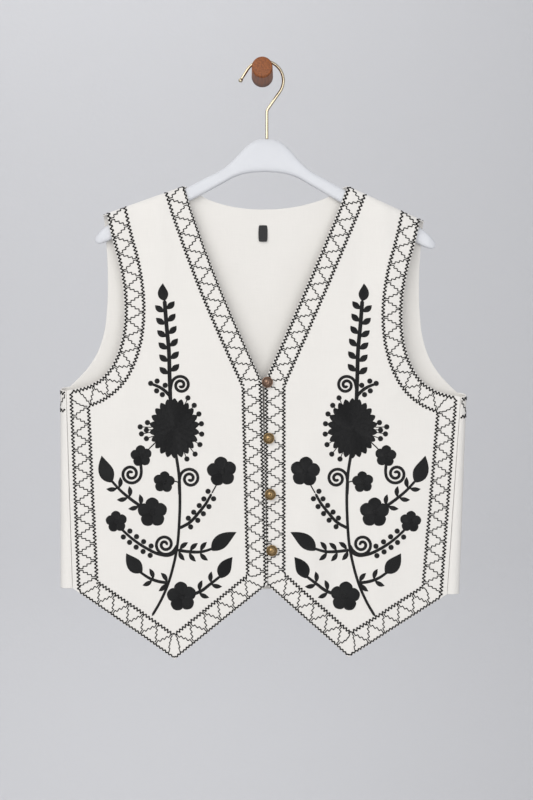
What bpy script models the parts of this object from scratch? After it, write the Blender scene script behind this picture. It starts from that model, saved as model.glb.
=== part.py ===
"""A sleeveless embroidered folk vest on a shaped hanger, hung from a round wooden wall peg.

Lengths are in millimetres, and metres only where a mesh is made. +X is to the right of someone who
faces the vest, +Y goes into the wall and +Z is up. The origin is the centre of the peg's flat back,
where it meets the wall, so everything lies in front of the wall, at negative y.

The garment is measured as a tailor does it: "out" is the distance from the centre line, "drop" the
distance below the high point of the shoulder, and "stand" the distance from the wall.
"""

import math

import bpy
import numpy as np
from mathutils import Vector
from mathutils.bvhtree import BVHTree
from mathutils.geometry import delaunay_2d_cdt

MM = 0.001

# The garment's place and its cloth.
CENTRE_X = 1.5
SHOULDER_Z = -142.5
CLOTH = 1.5
SEAM_GAP = 0.3

# How the two halves hang. The vest lies a little askew, so each half has its own sizes.
HALVES = {
    "left": {
        "sign": -1,
        "neck_out": 100.0,
        "neck_bow": 5.0,
        "sag": 0.0,
        "edge_top": 1.4,
        "edge_bottom": -5.0,
        "edge_hem": 498.0,
        "point_out": 110.6,
        "point_drop": 591.5,
        "fold_bottom": 254.0,
        "closure_lift": 1.3,
    },
    "right": {
        "sign": 1,
        "neck_out": 106.0,
        "neck_bow": 1.0,
        "sag": 7.5,
        "edge_top": 1.2,
        "edge_bottom": 1.2,
        "edge_hem": 495.5,
        "point_out": 106.3,
        "point_drop": 589.0,
        "fold_bottom": 245.0,
        "closure_lift": -1.3,
    },
}
NECK_DROP = 245.0
SHOULDER_TIP = (197.0, 34.5)
UNDERARM_DROP = 256.0
SIDE_HEM_DROP = 503.0

# Armhole edges from just below the shoulder's tip to just before the underarm.
FRONT_ARMHOLE = [
    {"out": 188.5, "drop": 69.0},
    {"out": 180.0, "drop": 101.0},
    {"out": 174.5, "drop": 135.0},
    {"out": 173.8, "drop": 165.0},
    {"out": 177.5, "drop": 193.0},
    {"out": 186.0, "drop": 218.0},
    {"out": 198.0, "drop": 236.0},
    {"out": 213.0, "drop": 247.0},
    {"out": 230.0, "drop": 253.0},
]
BACK_ARMHOLE = [
    {"out": 198.0, "drop": 73.0},
    {"out": 196.2, "drop": 110.0},
    {"out": 197.0, "drop": 150.0},
    {"out": 201.0, "drop": 183.0},
    {"out": 208.0, "drop": 205.0},
    {"out": 219.0, "drop": 224.0},
    {"out": 233.0, "drop": 240.0},
    {"out": 246.5, "drop": 250.5},
]
BACK_TIP_OUT = 201.5
BACK_NECK_DROP = 27.5
BACK_NECK_POWER = 2.2
BACK_HEM_DROP = 506.0

# The U-shaped turn of the cloth at each side. The back wraps round it, and its seam with the front
# lies this far in from the turn, as seen from the front.
FOLD_OUT = 254.0
FOLD_RADIUS = 9.5
FOLD_MID_STAND = 21.5
FOLD_BLEND = 75.0
SEAM_INSET_TOP = 7.5
SEAM_INSET_BOTTOM = 15.5

# How far the cloth stands from the wall down its length.
FRONT_STAND = [(0, 27.2), (60, 29.5), (150, 32.5), (260, 34.0), (420, 33.0), (600, 31.5)]
BACK_STAND = [(0, 13.0), (60, 13.0), (150, 12.4), (260, 12.0), (420, 12.0), (600, 12.0)]
RIDGE_STAND = 22.0
ROLL_REACH = 26.0
CLOSURE_REACH = 30.0

# Soft folds: a ridge, or a trough where the height is negative, that runs from top to bottom.
FRONT_FOLDS = [
    {"half": "left", "out": 133, "lean": -0.05, "top": 0, "bottom": 175, "width": 13, "height": 2.4},
    {"half": "left", "out": 158, "lean": 0.02, "top": 5, "bottom": 130, "width": 12, "height": -1.8},
    {"half": "left", "out": 172, "lean": 0.08, "top": 235, "bottom": 350, "width": 15, "height": 2.2},
    {"half": "left", "out": 206, "lean": 0.05, "top": 250, "bottom": 420, "width": 16, "height": -1.8},
    {"half": "left", "out": 62, "lean": 0.10, "top": 300, "bottom": 600, "width": 20, "height": 2.0},
    {"half": "left", "out": 150, "lean": 0.04, "top": 400, "bottom": 600, "width": 22, "height": -2.2},
    {"half": "right", "out": 150, "lean": 0.06, "top": 0, "bottom": 190, "width": 14, "height": 2.4},
    {"half": "right", "out": 122, "lean": -0.04, "top": 0, "bottom": 150, "width": 13, "height": -1.6},
    {"half": "right", "out": 200, "lean": 0.03, "top": 255, "bottom": 440, "width": 16, "height": 2.0},
    {"half": "right", "out": 96, "lean": -0.05, "top": 330, "bottom": 600, "width": 19, "height": -2.6},
    {"half": "right", "out": 55, "lean": 0.03, "top": 280, "bottom": 600, "width": 17, "height": 2.0},
    {"half": "right", "out": 150, "lean": -0.06, "top": 400, "bottom": 600, "width": 20, "height": 2.4},
]
BACK_FOLDS = [
    {"half": "left", "out": 140, "lean": -0.05, "top": 20, "bottom": 300, "width": 20, "height": -1.6},
    {"half": "left", "out": 70, "lean": 0.05, "top": 180, "bottom": 520, "width": 24, "height": 1.8},
    {"half": "left", "out": 180, "lean": 0.02, "top": 300, "bottom": 520, "width": 22, "height": -2.0},
    {"half": "right", "out": 60, "lean": 0.08, "top": 60, "bottom": 380, "width": 22, "height": 1.8},
    {"half": "right", "out": 130, "lean": 0.03, "top": 200, "bottom": 520, "width": 24, "height": -2.0},
    {"half": "right", "out": 190, "lean": 0.01, "top": 280, "bottom": 520, "width": 20, "height": 1.4},
]
FOLD_END = 60.0

# Columns of each panel's grid, along its top edge, and where they meet the hem.
NEAR_SHOULDER = [3.0, 6.5, 10.5, 16.0, 24.0]
FRONT_COLUMNS = {"neck": 6, "shoulder": 6, "armhole": 10}
FRONT_HEM_SPLIT = {"neck": 56.0, "shoulder": 80.0}
BACK_COLUMNS = {"neck": 5, "shoulder": 6, "armhole": 7, "wrap": 6}
BACK_HEM_SPLIT = {"neck": 72.0, "shoulder": 110.0}
ARMHOLE_POWER = 2.0
FRONT_BENDS = [1.0, 2.0, 3.0, 1.0]
BACK_BENDS = [1.0, 1.0, 3.0, 1.0, 1.0]
FRONT_BODY_ROWS = 13
BACK_BODY_ROWS = 9

# The peg, the hanger and its hook.
PEG_LENGTH = 62.0
PEG_BACK_RADIUS = 13.6
PEG_FRONT_RADIUS = 12.8
PEG_EDGE = 1.2
HANGER_X = 5.8
HANGER_STAND = 20.0
HANGER_TILT = math.radians(0.9)
HANGER_THICKNESS = 11.0
HANGER_TIP_THICKNESS = 8.5
HANGER_EDGE = 5.0
HANGER_ARM = [
    {"out": 0.0, "top": -82.5, "bottom": -123.6},
    {"out": 9.0, "top": -82.9, "bottom": -124.0},
    {"out": 18.0, "top": -86.5, "bottom": -124.8},
    {"out": 27.0, "top": -93.8, "bottom": -126.4},
    {"out": 40.0, "top": -108.0, "bottom": -130.8},
    {"out": 53.0, "top": -119.8, "bottom": -138.0},
    {"out": 76.0, "top": -132.6, "bottom": -151.0},
    {"out": 104.0, "top": -147.8, "bottom": -166.5},
    {"out": 150.0, "top": -168.5, "bottom": -190.0},
    {"out": 188.0, "top": -187.3, "bottom": -209.0},
    {"out": 202.0, "top": -197.0, "bottom": -215.5},
    {"out": 210.0, "top": -205.0, "bottom": -216.8},
    {"out": 213.5, "top": -210.0, "bottom": -214.4},
]
WIRE_RADIUS = 1.9
HOOK_RADIUS = 24.7
HOOK_CENTRE_X = 1.8
HOOK_TIP_ANGLE = 148.0
HOOK_TIP_LENGTH = 18.0
HOOK_THROAT_ANGLE = -35.0
HOOK_BEND_RADIUS = 9.0
HOOK_BALL = 1.45

# The buttons, their loops and the label.
BUTTON_COUNT = 4
BUTTON_TOP_DROP = 245.5
BUTTON_STEP = 70.0
BUTTON_OUT_TOP = 4.9
BUTTON_OUT_BOTTOM = 10.6
BUTTON_RADIUS = 7.0
BUTTON_DOME = 4.2
BUTTON_RIM = 0.9
SHANK_RADIUS = 1.5
SHANK_LENGTH = 3.0
LOOP_RADIUS = 0.6
LOOP_HALF_WIDTH = 2.9
LABEL = {"x": 0.9, "drop": 58.0, "width": 11.6, "height": 21.0, "thickness": 0.9, "kick": 1.6}

# The raised embroidery.
THREAD_GAP = 0.5
THREAD_HEIGHT = 0.9
THREAD_NEAR = 5.0
THREAD_PROBES = [(0, 0), (1, 0), (-1, 0), (0, 1), (0, -1)]
STEM_WIDTH = 3.0
STEM = [(123.5, 142), (121, 174), (118, 206), (117, 240), (115.5, 275), (110, 330), (105.5, 360),
        (104.2, 388), (105, 420), (107.5, 450), (112.5, 475), (120, 500), (129, 520), (139.5, 538)]
TWIG_WIDTH = 2.4
TWIGS = {
    "berries_inner": [(104.5, 426), (92, 414), (79, 400), (69, 384), (60, 366)],
    "berries_outer": [(108, 452), (125, 462), (146, 455), (165, 441), (178, 428)],
    "leaf_inner": [(107.5, 455), (92, 457), (78, 457), (62, 452)],
    "leaf_outer": [(152, 401), (166, 391), (179, 380), (190, 368)],
    "leaf_low_outer": [(117, 494), (130, 494), (143, 490), (155, 483)],
    "leaf_low_inner": [(92, 511), (78, 506), (66, 497), (54, 485)],
    "sprig": [(117, 268), (129, 257), (141, 250)],
    "small_flower_tie": [(104, 371), (111, 369), (122, 370)],
    "high_flower_tie": [(126, 314), (137, 323), (148, 334)],
    "middle_flower_tie": [(104, 418), (117, 417), (132, 410)],
    "low_flower_tie": [(110, 509), (117, 506), (122, 502)],
}
BIG_LEAVES = [
    {"base": (189.5, 369), "tip": (202, 337), "width": 17},
    {"base": (63, 451.5), "tip": (34, 433), "width": 15},
    {"base": (154, 483.5), "tip": (171, 459.5), "width": 15},
    {"base": (54.5, 486), "tip": (39, 463.5), "width": 15},
    {"base": (123, 144), "tip": (125.5, 122), "width": 13},
]
FLOWERS = [
    {"out": 152.5, "drop": 337.5, "radius": 13.0},
    {"out": 124, "drop": 370, "radius": 13.0},
    {"out": 138.5, "drop": 408, "radius": 18.0},
    {"out": 52, "drop": 357, "radius": 18.0},
    {"out": 183.5, "drop": 419.5, "radius": 13.0},
    {"out": 102, "drop": 513, "radius": 18.0},
]
DAHLIA = {"out": 111, "drop": 303, "half_width": 29.5, "half_height": 35.5, "petals": 20}


def clear_scene():
    """Removes whatever the scene holds."""
    for thing in list(bpy.data.objects):
        bpy.data.objects.remove(thing)


def finish_material(name, colour, roughness, metallic=0.0):
    """A Principled material of one colour."""
    material = bpy.data.materials.new(name)
    material.use_nodes = True
    shader = material.node_tree.nodes["Principled BSDF"]
    shader.inputs["Base Color"].default_value = (*colour, 1.0)
    shader.inputs["Roughness"].default_value = roughness
    shader.inputs["Metallic"].default_value = metallic
    return material


def add_mesh(name, points, faces, material, smooth=True):
    """An object from points in millimetres and faces."""
    mesh = bpy.data.meshes.new(name)
    mesh.from_pydata([Vector(p) * MM for p in points], [], [tuple(int(i) for i in f) for f in faces])
    mesh.materials.append(material)
    if smooth:
        mesh.shade_smooth()
        mesh.set_sharp_from_angle(angle=math.radians(40))
    mesh.update()
    thing = bpy.data.objects.new(name, mesh)
    bpy.context.scene.collection.objects.link(thing)
    return thing


def ease(share):
    """A smooth step from 0 to 1 as share goes from 0 to 1."""
    share = np.clip(share, 0.0, 1.0)
    return share * share * (3.0 - 2.0 * share)


def smooth_path(points, count):
    """count points, evenly spaced, on a smooth curve through the given ones.

    The curve is a cubic between neighbours, with each point's slope taken from those beside it.
    """
    points = np.array(points, float)
    chord = np.r_[0.0, np.cumsum(np.linalg.norm(np.diff(points, axis=0), axis=1))]
    slopes = np.gradient(points, chord, axis=0)
    fine = np.linspace(0.0, chord[-1], 40 * len(points))
    step = np.clip(np.searchsorted(chord, fine, side="right") - 1, 0, len(points) - 2)
    span = (chord[step + 1] - chord[step])[:, None]
    t = (fine[:, None] - chord[step][:, None]) / span
    curve = (
        (2 * t**3 - 3 * t**2 + 1) * points[step]
        + (t**3 - 2 * t**2 + t) * span * slopes[step]
        + (3 * t**2 - 2 * t**3) * points[step + 1]
        + (t**3 - t**2) * span * slopes[step + 1]
    )
    return evenly(curve, count)


def evenly(points, count):
    """count points, evenly spaced by length, along a chain of points."""
    points = np.array(points, float)
    length = np.r_[0.0, np.cumsum(np.linalg.norm(np.diff(points, axis=0), axis=1))]
    wanted = np.linspace(0.0, length[-1], count)
    return np.stack([np.interp(wanted, length, points[:, k]) for k in range(points.shape[1])], axis=1)


def joined_ends(first, second):
    """Two chains of points that share a place, as one chain."""
    return np.concatenate([first, second[1:]])


def near_start(points, count):
    """count places along a smooth curve, after its start and close ones at NEAR_SHOULDER from it."""
    fine = smooth_path(points, 400)
    length = np.r_[0.0, np.cumsum(np.linalg.norm(np.diff(fine, axis=0), axis=1))]
    spread = np.linspace(NEAR_SHOULDER[-1], length[-1], count + 1)[1:]
    wanted = np.r_[0.0, NEAR_SHOULDER, spread]
    return np.stack([np.interp(wanted, length, fine[:, k]) for k in range(2)], axis=1)


def hem_spread(chain, start, end, power):
    """Places from start to end for the steps of a chain above, closer at the start for a power over 1."""
    length = np.r_[0.0, np.cumsum(np.linalg.norm(np.diff(chain, axis=0), axis=1))]
    share = 0.5 * length / length[-1] + 0.5 * np.linspace(0.0, 1.0, len(chain))
    return start + (end - start) * share**power


def fold_out(half, drop):
    """How far out the side's turn lies at each drop."""
    share = (drop - half["sag"] - UNDERARM_DROP) / (SIDE_HEM_DROP - UNDERARM_DROP)
    return FOLD_OUT + (half["fold_bottom"] - FOLD_OUT) * np.clip(share, 0.0, 1.0)


def ridge_drop(half, out):
    """The drop of the shoulder's ridge, a straight line through the neck point and the tip."""
    tip_out, tip_drop = SHOULDER_TIP
    slope = (tip_drop + half["sag"]) / (tip_out - half["neck_out"])
    return slope * (out - half["neck_out"])


def soft_folds(table, side, out, drop):
    """The height that the soft folds of one half add at each place."""
    total = np.zeros_like(out)
    for fold in table:
        if fold["half"] != side:
            continue
        middle = fold["out"] + fold["lean"] * (drop - fold["top"])
        across = np.exp(-(((out - middle) / fold["width"]) ** 2))
        along = ease((drop - fold["top"]) / FOLD_END) * ease((fold["bottom"] - drop) / FOLD_END)
        if fold["top"] <= 0:
            along = ease((fold["bottom"] - drop) / FOLD_END)
        if fold["bottom"] >= 520:
            along = ease((drop - fold["top"]) / FOLD_END)
        total = total + fold["height"] * across * along
    return total


def roll_over(half, out, drop, stand):
    """Turns the cloth near the shoulder over the ridge: a quarter circle, then the flat part.

    Gives the new drop and stand. The quarter's length is shared out over ROLL_REACH, so that the
    cloth further down stays where it is.
    """
    radius = np.abs(stand - RIDGE_STAND)
    below = np.maximum(drop - ridge_drop(half, out), 0.0) + SEAM_GAP / 2
    quarter = radius * math.pi / 2
    length = below * (1.0 + (quarter - radius) / ROLL_REACH)
    angle = np.minimum(length / radius, math.pi / 2)
    fallen = np.where(length < quarter, radius * (1 - np.cos(angle)), radius + length - quarter)
    near = below < ROLL_REACH
    rolled = RIDGE_STAND + np.sign(stand - RIDGE_STAND) * radius * np.sin(angle)
    return np.where(near, ridge_drop(half, out) + fallen, drop), np.where(near, rolled, stand)


def place_front(side, out, drop):
    """Where a place on a front's cut lies on the hanging vest, as x, y, z."""
    half = HALVES[side]
    flat = np.interp(drop, *zip(*FRONT_STAND))
    edge_stand = FOLD_MID_STAND + FOLD_RADIUS
    inset = fold_out(half, drop) - out
    share = ease(1.0 - (inset - 2 * FOLD_RADIUS) / FOLD_BLEND) * ease((drop - 150) / 110)
    lift = half["closure_lift"] * ease(1.0 - (out - 3) / CLOSURE_REACH) * ease((drop - 120) / 110)
    stand = flat + lift + soft_folds(FRONT_FOLDS, side, out, drop)
    stand = stand + (edge_stand - stand) * share
    turned = np.sqrt(np.maximum(FOLD_RADIUS**2 - np.maximum(FOLD_RADIUS - inset, 0.0) ** 2, 0.0))
    stand = np.where(inset < FOLD_RADIUS, FOLD_MID_STAND + turned, stand)
    drop, stand = roll_over(half, out, drop, stand)
    return np.stack([CENTRE_X + half["sign"] * out, -stand, SHOULDER_Z - drop], axis=-1)


def place_back(side, length, drop):
    """Where a place on the back's cut lies on the hanging vest. length runs out along the cloth."""
    half = HALVES[side]
    drop = drop + half["sag"] * ease(length / 200.0)
    flat = np.interp(drop, *zip(*BACK_STAND))
    start = fold_out(half, drop) - FOLD_RADIUS
    past = np.maximum(length - start, 0.0)
    angle = np.minimum(past / FOLD_RADIUS, math.pi)
    beyond = np.maximum(past - math.pi * FOLD_RADIUS, 0.0)
    out = np.minimum(length, start) + FOLD_RADIUS * np.sin(angle) - beyond
    share = ease(1.0 - (start - length) / FOLD_BLEND) * ease((drop - 150) / 110)
    stand = flat - soft_folds(BACK_FOLDS, side, out, drop)
    stand = stand + (FOLD_MID_STAND - FOLD_RADIUS - stand) * share
    stand = np.where(past > 0, FOLD_MID_STAND - FOLD_RADIUS * np.cos(angle), stand)
    rolled_drop, rolled_stand = roll_over(half, out, drop, stand)
    drop = np.where(past > 0, drop, rolled_drop)
    stand = np.where(past > 0, stand, rolled_stand)
    return np.stack([CENTRE_X + half["sign"] * out, -stand, SHOULDER_Z - drop], axis=-1)


def front_top(side):
    """The front's upper edge: up the neck, along the shoulder and round the armhole, as chains."""
    half = HALVES[side]
    tip_out, tip_drop = SHOULDER_TIP
    share = np.linspace(0.0, 1.0, 12)
    neck_out = half["edge_top"] + (half["neck_out"] - half["edge_top"]) * share
    neck_out = neck_out + half["neck_bow"] * np.sin(math.pi * share)
    neck = np.stack([neck_out, NECK_DROP * (1.0 - share)], axis=1)
    neck = near_start(neck[::-1], FRONT_COLUMNS["neck"])[::-1]
    tip = (tip_out, tip_drop + half["sag"])
    shoulder = evenly([neck[-1], tip], FRONT_COLUMNS["shoulder"])
    underarm = UNDERARM_DROP + half["sag"]
    corner = (FOLD_OUT - SEAM_INSET_TOP - SEAM_GAP / 2, underarm)
    points = [tip, *((p["out"], p["drop"] + half["sag"]) for p in FRONT_ARMHOLE), corner]
    return neck, shoulder, near_start(points, FRONT_COLUMNS["armhole"])


def column_bends(chains, bends):
    """Each column's bend, where bends gives it for the two ends of each chain of the top edge."""
    corners = np.r_[0, np.cumsum([len(chain) - 1 for chain in chains])]
    return np.interp(np.arange(corners[-1] + 1), corners, bends)


def front_hem(side, chains):
    """The front's pointed hem, with a place for each column of the top edge."""
    half = HALVES[side]
    last = SIDE_HEM_DROP + half["sag"]
    corner = half["fold_bottom"] - SEAM_INSET_BOTTOM - SEAM_GAP / 2
    splits = [half["edge_bottom"], FRONT_HEM_SPLIT["neck"], FRONT_HEM_SPLIT["shoulder"], corner]
    powers = (1.0, 1.0, ARMHOLE_POWER)
    parts = [hem_spread(chains[k], splits[k], splits[k + 1], powers[k]) for k in range(3)]
    out = np.concatenate([parts[0], parts[1][1:], parts[2][1:]])
    out[np.argmin(np.abs(out - half["point_out"]))] = half["point_out"]
    drop = np.interp(
        out,
        [half["edge_bottom"], half["point_out"], corner],
        [half["edge_hem"], half["point_drop"], last],
    )
    return np.stack([out, drop], axis=1)


def column_grid(top, hem, body_rows, bend):
    """A grid of the cut: each column runs from its top place to its hem place.

    A column's drop grows evenly. Its out goes as the power bend of the share that is left, so that
    a column with a bend of 1 is straight, and one with more leaves the top edge inwards, away from
    an armhole's edge. The rows next to the top edge lie at fixed distances from it, so that they can
    turn over the ridge, and the others are spread evenly down to the hem.
    """
    length = np.linalg.norm(hem - top, axis=1)
    first = NEAR_SHOULDER[-1]
    rows = [near / length for near in (0.0, *NEAR_SHOULDER)]
    for step in range(1, body_rows + 1):
        rows.append((first + (length - first) * step / body_rows) / length)
    share = np.minimum(np.array(rows), 1.0)
    out = hem[:, 0] + (top - hem)[:, 0] * (1.0 - share) ** bend
    drop = top[:, 1] + (hem - top)[:, 1] * share
    return np.stack([out, drop], axis=-1)


def wall(name, middle, outward, material):
    """A closed cloth wall of thickness CLOTH about a grid of points on its middle surface.

    Each point moves half the thickness both ways along the surface's own direction there. outward
    is a direction that the grid's first point looks to, and the rim joins the two skins. Both skins
    split each cell along its shorter diagonal, so that they stay a wall apart where it is twisted.
    """
    across = np.gradient(middle, axis=1, edge_order=2)
    down = np.gradient(middle, axis=0, edge_order=2)
    facing = np.cross(down, across)
    facing = facing / np.linalg.norm(facing, axis=2, keepdims=True)
    if np.dot(facing[-1, 0], outward) < 0:
        facing = -facing
    outer = middle + facing * CLOTH / 2
    inner = middle - facing * CLOTH / 2
    rows, columns = middle.shape[:2]
    index = np.arange(rows * columns).reshape(rows, columns)
    quads = np.stack([index[:-1, :-1], index[1:, :-1], index[1:, 1:], index[:-1, 1:]], axis=-1)
    quads = quads.reshape(-1, 4)
    normal = np.cross(outer[1, 0] - outer[0, 0], outer[0, 1] - outer[0, 0])
    if np.dot(normal, facing[0, 0]) < 0:
        quads = quads[:, ::-1]
    rim = np.concatenate([index[0, :-1], index[:-1, -1], index[-1, :0:-1], index[:0:-1, 0]])
    following = np.roll(rim, -1)
    count = rows * columns
    sides = np.stack([rim, following, following + count, rim + count], axis=1)
    first = np.concatenate([outer.reshape(-1, 3), inner.reshape(-1, 3)])
    edge_normal = np.cross(
        first[sides[0, 1]] - first[sides[0, 0]], first[sides[0, 2]] - first[sides[0, 1]]
    )
    if np.dot(edge_normal, middle[0, 0] - middle[-1, 0]) < 0:
        sides = sides[:, ::-1]
    corners = middle.reshape(-1, 3)[quads]
    diagonals = np.linalg.norm(corners[:, :2] - corners[:, 2:], axis=2)
    first_way = diagonals[:, 0] <= diagonals[:, 1]
    one_way, other_way = quads[first_way], quads[~first_way]
    halves = [one_way[:, :3], one_way[:, [0, 2, 3]], other_way[:, 1:], other_way[:, [0, 1, 3]]]
    skin = np.concatenate(halves)
    faces = [*skin, *(skin[:, ::-1] + count), *sides]
    return add_mesh(name, first, faces, material)


def add_front(side, material):
    """One front panel, cut in one piece from shoulder to pointed hem."""
    chains = front_top(side)
    top = joined_ends(joined_ends(chains[0], chains[1]), chains[2])
    bend = column_bends(chains, FRONT_BENDS)
    grid = column_grid(top, front_hem(side, chains), FRONT_BODY_ROWS, bend)
    middle = place_front(side, grid[..., 0], grid[..., 1])
    return wall("front_" + side, middle, (0, -1, 0), material)


def back_top(side):
    """The back's upper edge from the neck's centre to the side seam, along the cloth, as chains."""
    half = HALVES[side]
    tip_out, tip_drop = SHOULDER_TIP
    out = np.linspace(0.0, half["neck_out"], 14)
    drop = BACK_NECK_DROP * (1.0 - (out / half["neck_out"]) ** BACK_NECK_POWER)
    neck = np.stack([out, drop - half["sag"] * ease(out / 200.0)], axis=1)
    neck[0, 1] = BACK_NECK_DROP
    neck = near_start(neck[::-1], BACK_COLUMNS["neck"])[::-1]
    slope = (tip_drop + half["sag"]) / (tip_out - half["neck_out"])
    shoulder_out = np.linspace(half["neck_out"], BACK_TIP_OUT, BACK_COLUMNS["shoulder"])
    ridge = slope * (shoulder_out - half["neck_out"]) - half["sag"] * ease(shoulder_out / 200.0)
    shoulder = np.stack([shoulder_out, ridge], axis=1)
    turn = (FOLD_OUT - FOLD_RADIUS, UNDERARM_DROP - 5.0)
    points = [shoulder[-1], *((p["out"], p["drop"]) for p in BACK_ARMHOLE[:-1]), turn]
    armhole = near_start(points, BACK_COLUMNS["armhole"])
    seam = turn[0] + seam_length(SEAM_INSET_TOP)
    wrap_length = np.linspace(turn[0], seam, BACK_COLUMNS["wrap"] + 1)
    wrap_drop = UNDERARM_DROP - 5.0 * (1.0 - ease((wrap_length - turn[0]) / (seam - turn[0])))
    wrap = np.stack([wrap_length, wrap_drop], axis=1)
    return neck, shoulder, armhole, wrap


def seam_length(inset):
    """Cloth from the start of the side's turn to the seam: half a circle, less or more."""
    within = math.pi - math.asin(max(0.0, min(1.0, (FOLD_RADIUS - inset) / FOLD_RADIUS)))
    return FOLD_RADIUS * within + max(0.0, inset - FOLD_RADIUS) - SEAM_GAP / 2


def back_hem(side, chains):
    """The back's straight hem, with a place for each column of its top edge."""
    half = HALVES[side]
    start = half["fold_bottom"] - FOLD_RADIUS
    seam = start + seam_length(SEAM_INSET_BOTTOM)
    splits = [0.0, BACK_HEM_SPLIT["neck"], BACK_HEM_SPLIT["shoulder"], start, seam]
    powers = (1.0, 1.0, ARMHOLE_POWER, 1.0)
    parts = [hem_spread(chains[k], splits[k], splits[k + 1], powers[k]) for k in range(4)]
    out = np.concatenate([parts[0], parts[1][1:], parts[2][1:], parts[3][1:]])
    drop = BACK_HEM_DROP + (SIDE_HEM_DROP - BACK_HEM_DROP) * ease(out / start)
    return np.stack([out, drop], axis=1)


def add_back(material):
    """The back panel in one piece, from side seam to side seam, wrapped round both sides."""
    sides = {}
    for side in HALVES:
        chains = back_top(side)
        top = chains[0]
        for chain in chains[1:]:
            top = joined_ends(top, chain)
        bend = column_bends(chains, BACK_BENDS)
        grid = column_grid(top, back_hem(side, chains), BACK_BODY_ROWS, bend)
        sides[side] = place_back(side, grid[..., 0], grid[..., 1])
    middle = np.concatenate([sides["left"][:, :0:-1], sides["right"]], axis=1)
    return wall("back", middle, (-1, 0, 0), material)


def rings(name, sections, material):
    """A closed solid lofted through rings of equal count, closed with a flat cap at both ends."""
    count = len(sections[0])
    points = [p for section in sections for p in section]
    faces = []
    for ring in range(len(sections) - 1):
        for k in range(count):
            a = ring * count + k
            b = ring * count + (k + 1) % count
            faces.append((a, b, b + count, a + count))
    faces.append(tuple(range(count))[::-1])
    faces.append(tuple(range((len(sections) - 1) * count, len(sections) * count)))
    return add_mesh(name, points, faces, material)


def turned(name, profile, centre, sides, material):
    """A solid turned about a line through centre that runs towards the viewer.

    profile holds (radius, height) pairs from the back, height counted towards the viewer. A first
    or last radius of 0 closes in a point, and any other in a flat cap.
    """
    sections = []
    for radius, height in profile:
        angles = [2 * math.pi * k / sides for k in range(sides)]
        sections.append(
            [
                (centre[0] + radius * math.cos(a), centre[1] - height, centre[2] - radius * math.sin(a))
                for a in angles
            ]
        )
    return rings(name, [section[::-1] for section in sections], material)


def add_peg(material):
    """The round wooden peg, a little thinner at its rounded front end."""
    bevel = [(PEG_FRONT_RADIUS - PEG_EDGE * (1 - math.cos(t)), PEG_LENGTH - PEG_EDGE * (1 - math.sin(t)))
             for t in np.linspace(0.0, math.pi / 2, 4)]
    profile = [(PEG_BACK_RADIUS, 0.0), *bevel]
    return turned("wall_peg", profile, (0.0, 0.0, 0.0), 32, material)


def rounded_section(x, low, high, thickness, edge):
    """A ring at one x: an upright rectangle with round corners, across the hanger's thickness."""
    edge = min(edge, thickness / 2 - 0.2, (high - low) / 2 - 0.1)
    ring = []
    for corner, (across, up) in enumerate([(1, 1), (-1, 1), (-1, -1), (1, -1)]):
        centre_y = across * (thickness / 2 - edge)
        centre_z = (high - edge) if up > 0 else (low + edge)
        for k in range(3):
            angle = math.pi / 2 * (corner + k / 2)
            ring.append((x, centre_y + edge * math.cos(angle), centre_z + edge * math.sin(angle)))
    return ring


def add_hanger(material):
    """The shaped hanger: upright slices from one arm's tip to the other's, tilted a little."""
    outs = np.array([row["out"] for row in HANGER_ARM])
    places = np.unique(np.concatenate([outs, [4.5, 13.5, 22.5, 33.5, 64.0, 127.0, 170.0]]))
    tops = hermite(places, outs, np.array([row["top"] for row in HANGER_ARM]))
    bottoms = hermite(places, outs, np.array([row["bottom"] for row in HANGER_ARM]))
    share = places / outs[-1]
    widths = HANGER_THICKNESS + (HANGER_TIP_THICKNESS - HANGER_THICKNESS) * share**2
    sections = []
    for sign in (-1, 1):
        order = range(len(places) - 1, 0, -1) if sign < 0 else range(len(places))
        for k in order:
            ring = rounded_section(sign * places[k], bottoms[k], tops[k], widths[k], HANGER_EDGE)
            sections.append([tilted(p) for p in ring])
    return rings("hanger", sections, material)


def tilted(point):
    """A point of the level hanger, moved to the hook and turned with the hanging arms."""
    x, y, z = point
    z0 = HANGER_ARM[0]["top"]
    cosine, sine = math.cos(HANGER_TILT), math.sin(HANGER_TILT)
    up = z - z0
    return (HANGER_X + x * cosine + up * sine, y - HANGER_STAND, z0 - x * sine + up * cosine)


def hermite(wanted, places, values):
    """Values between the given ones on smooth cubics, flat at the hanger's middle."""
    slopes = np.gradient(values, places)
    slopes[0] = 0.0
    step = np.clip(np.searchsorted(places, wanted, side="right") - 1, 0, len(places) - 2)
    span = places[step + 1] - places[step]
    t = (wanted - places[step]) / span
    return (
        (2 * t**3 - 3 * t**2 + 1) * values[step]
        + (t**3 - 2 * t**2 + t) * span * slopes[step]
        + (3 * t**2 - 2 * t**3) * values[step + 1]
        + (t**3 - t**2) * span * slopes[step + 1]
    )


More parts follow.
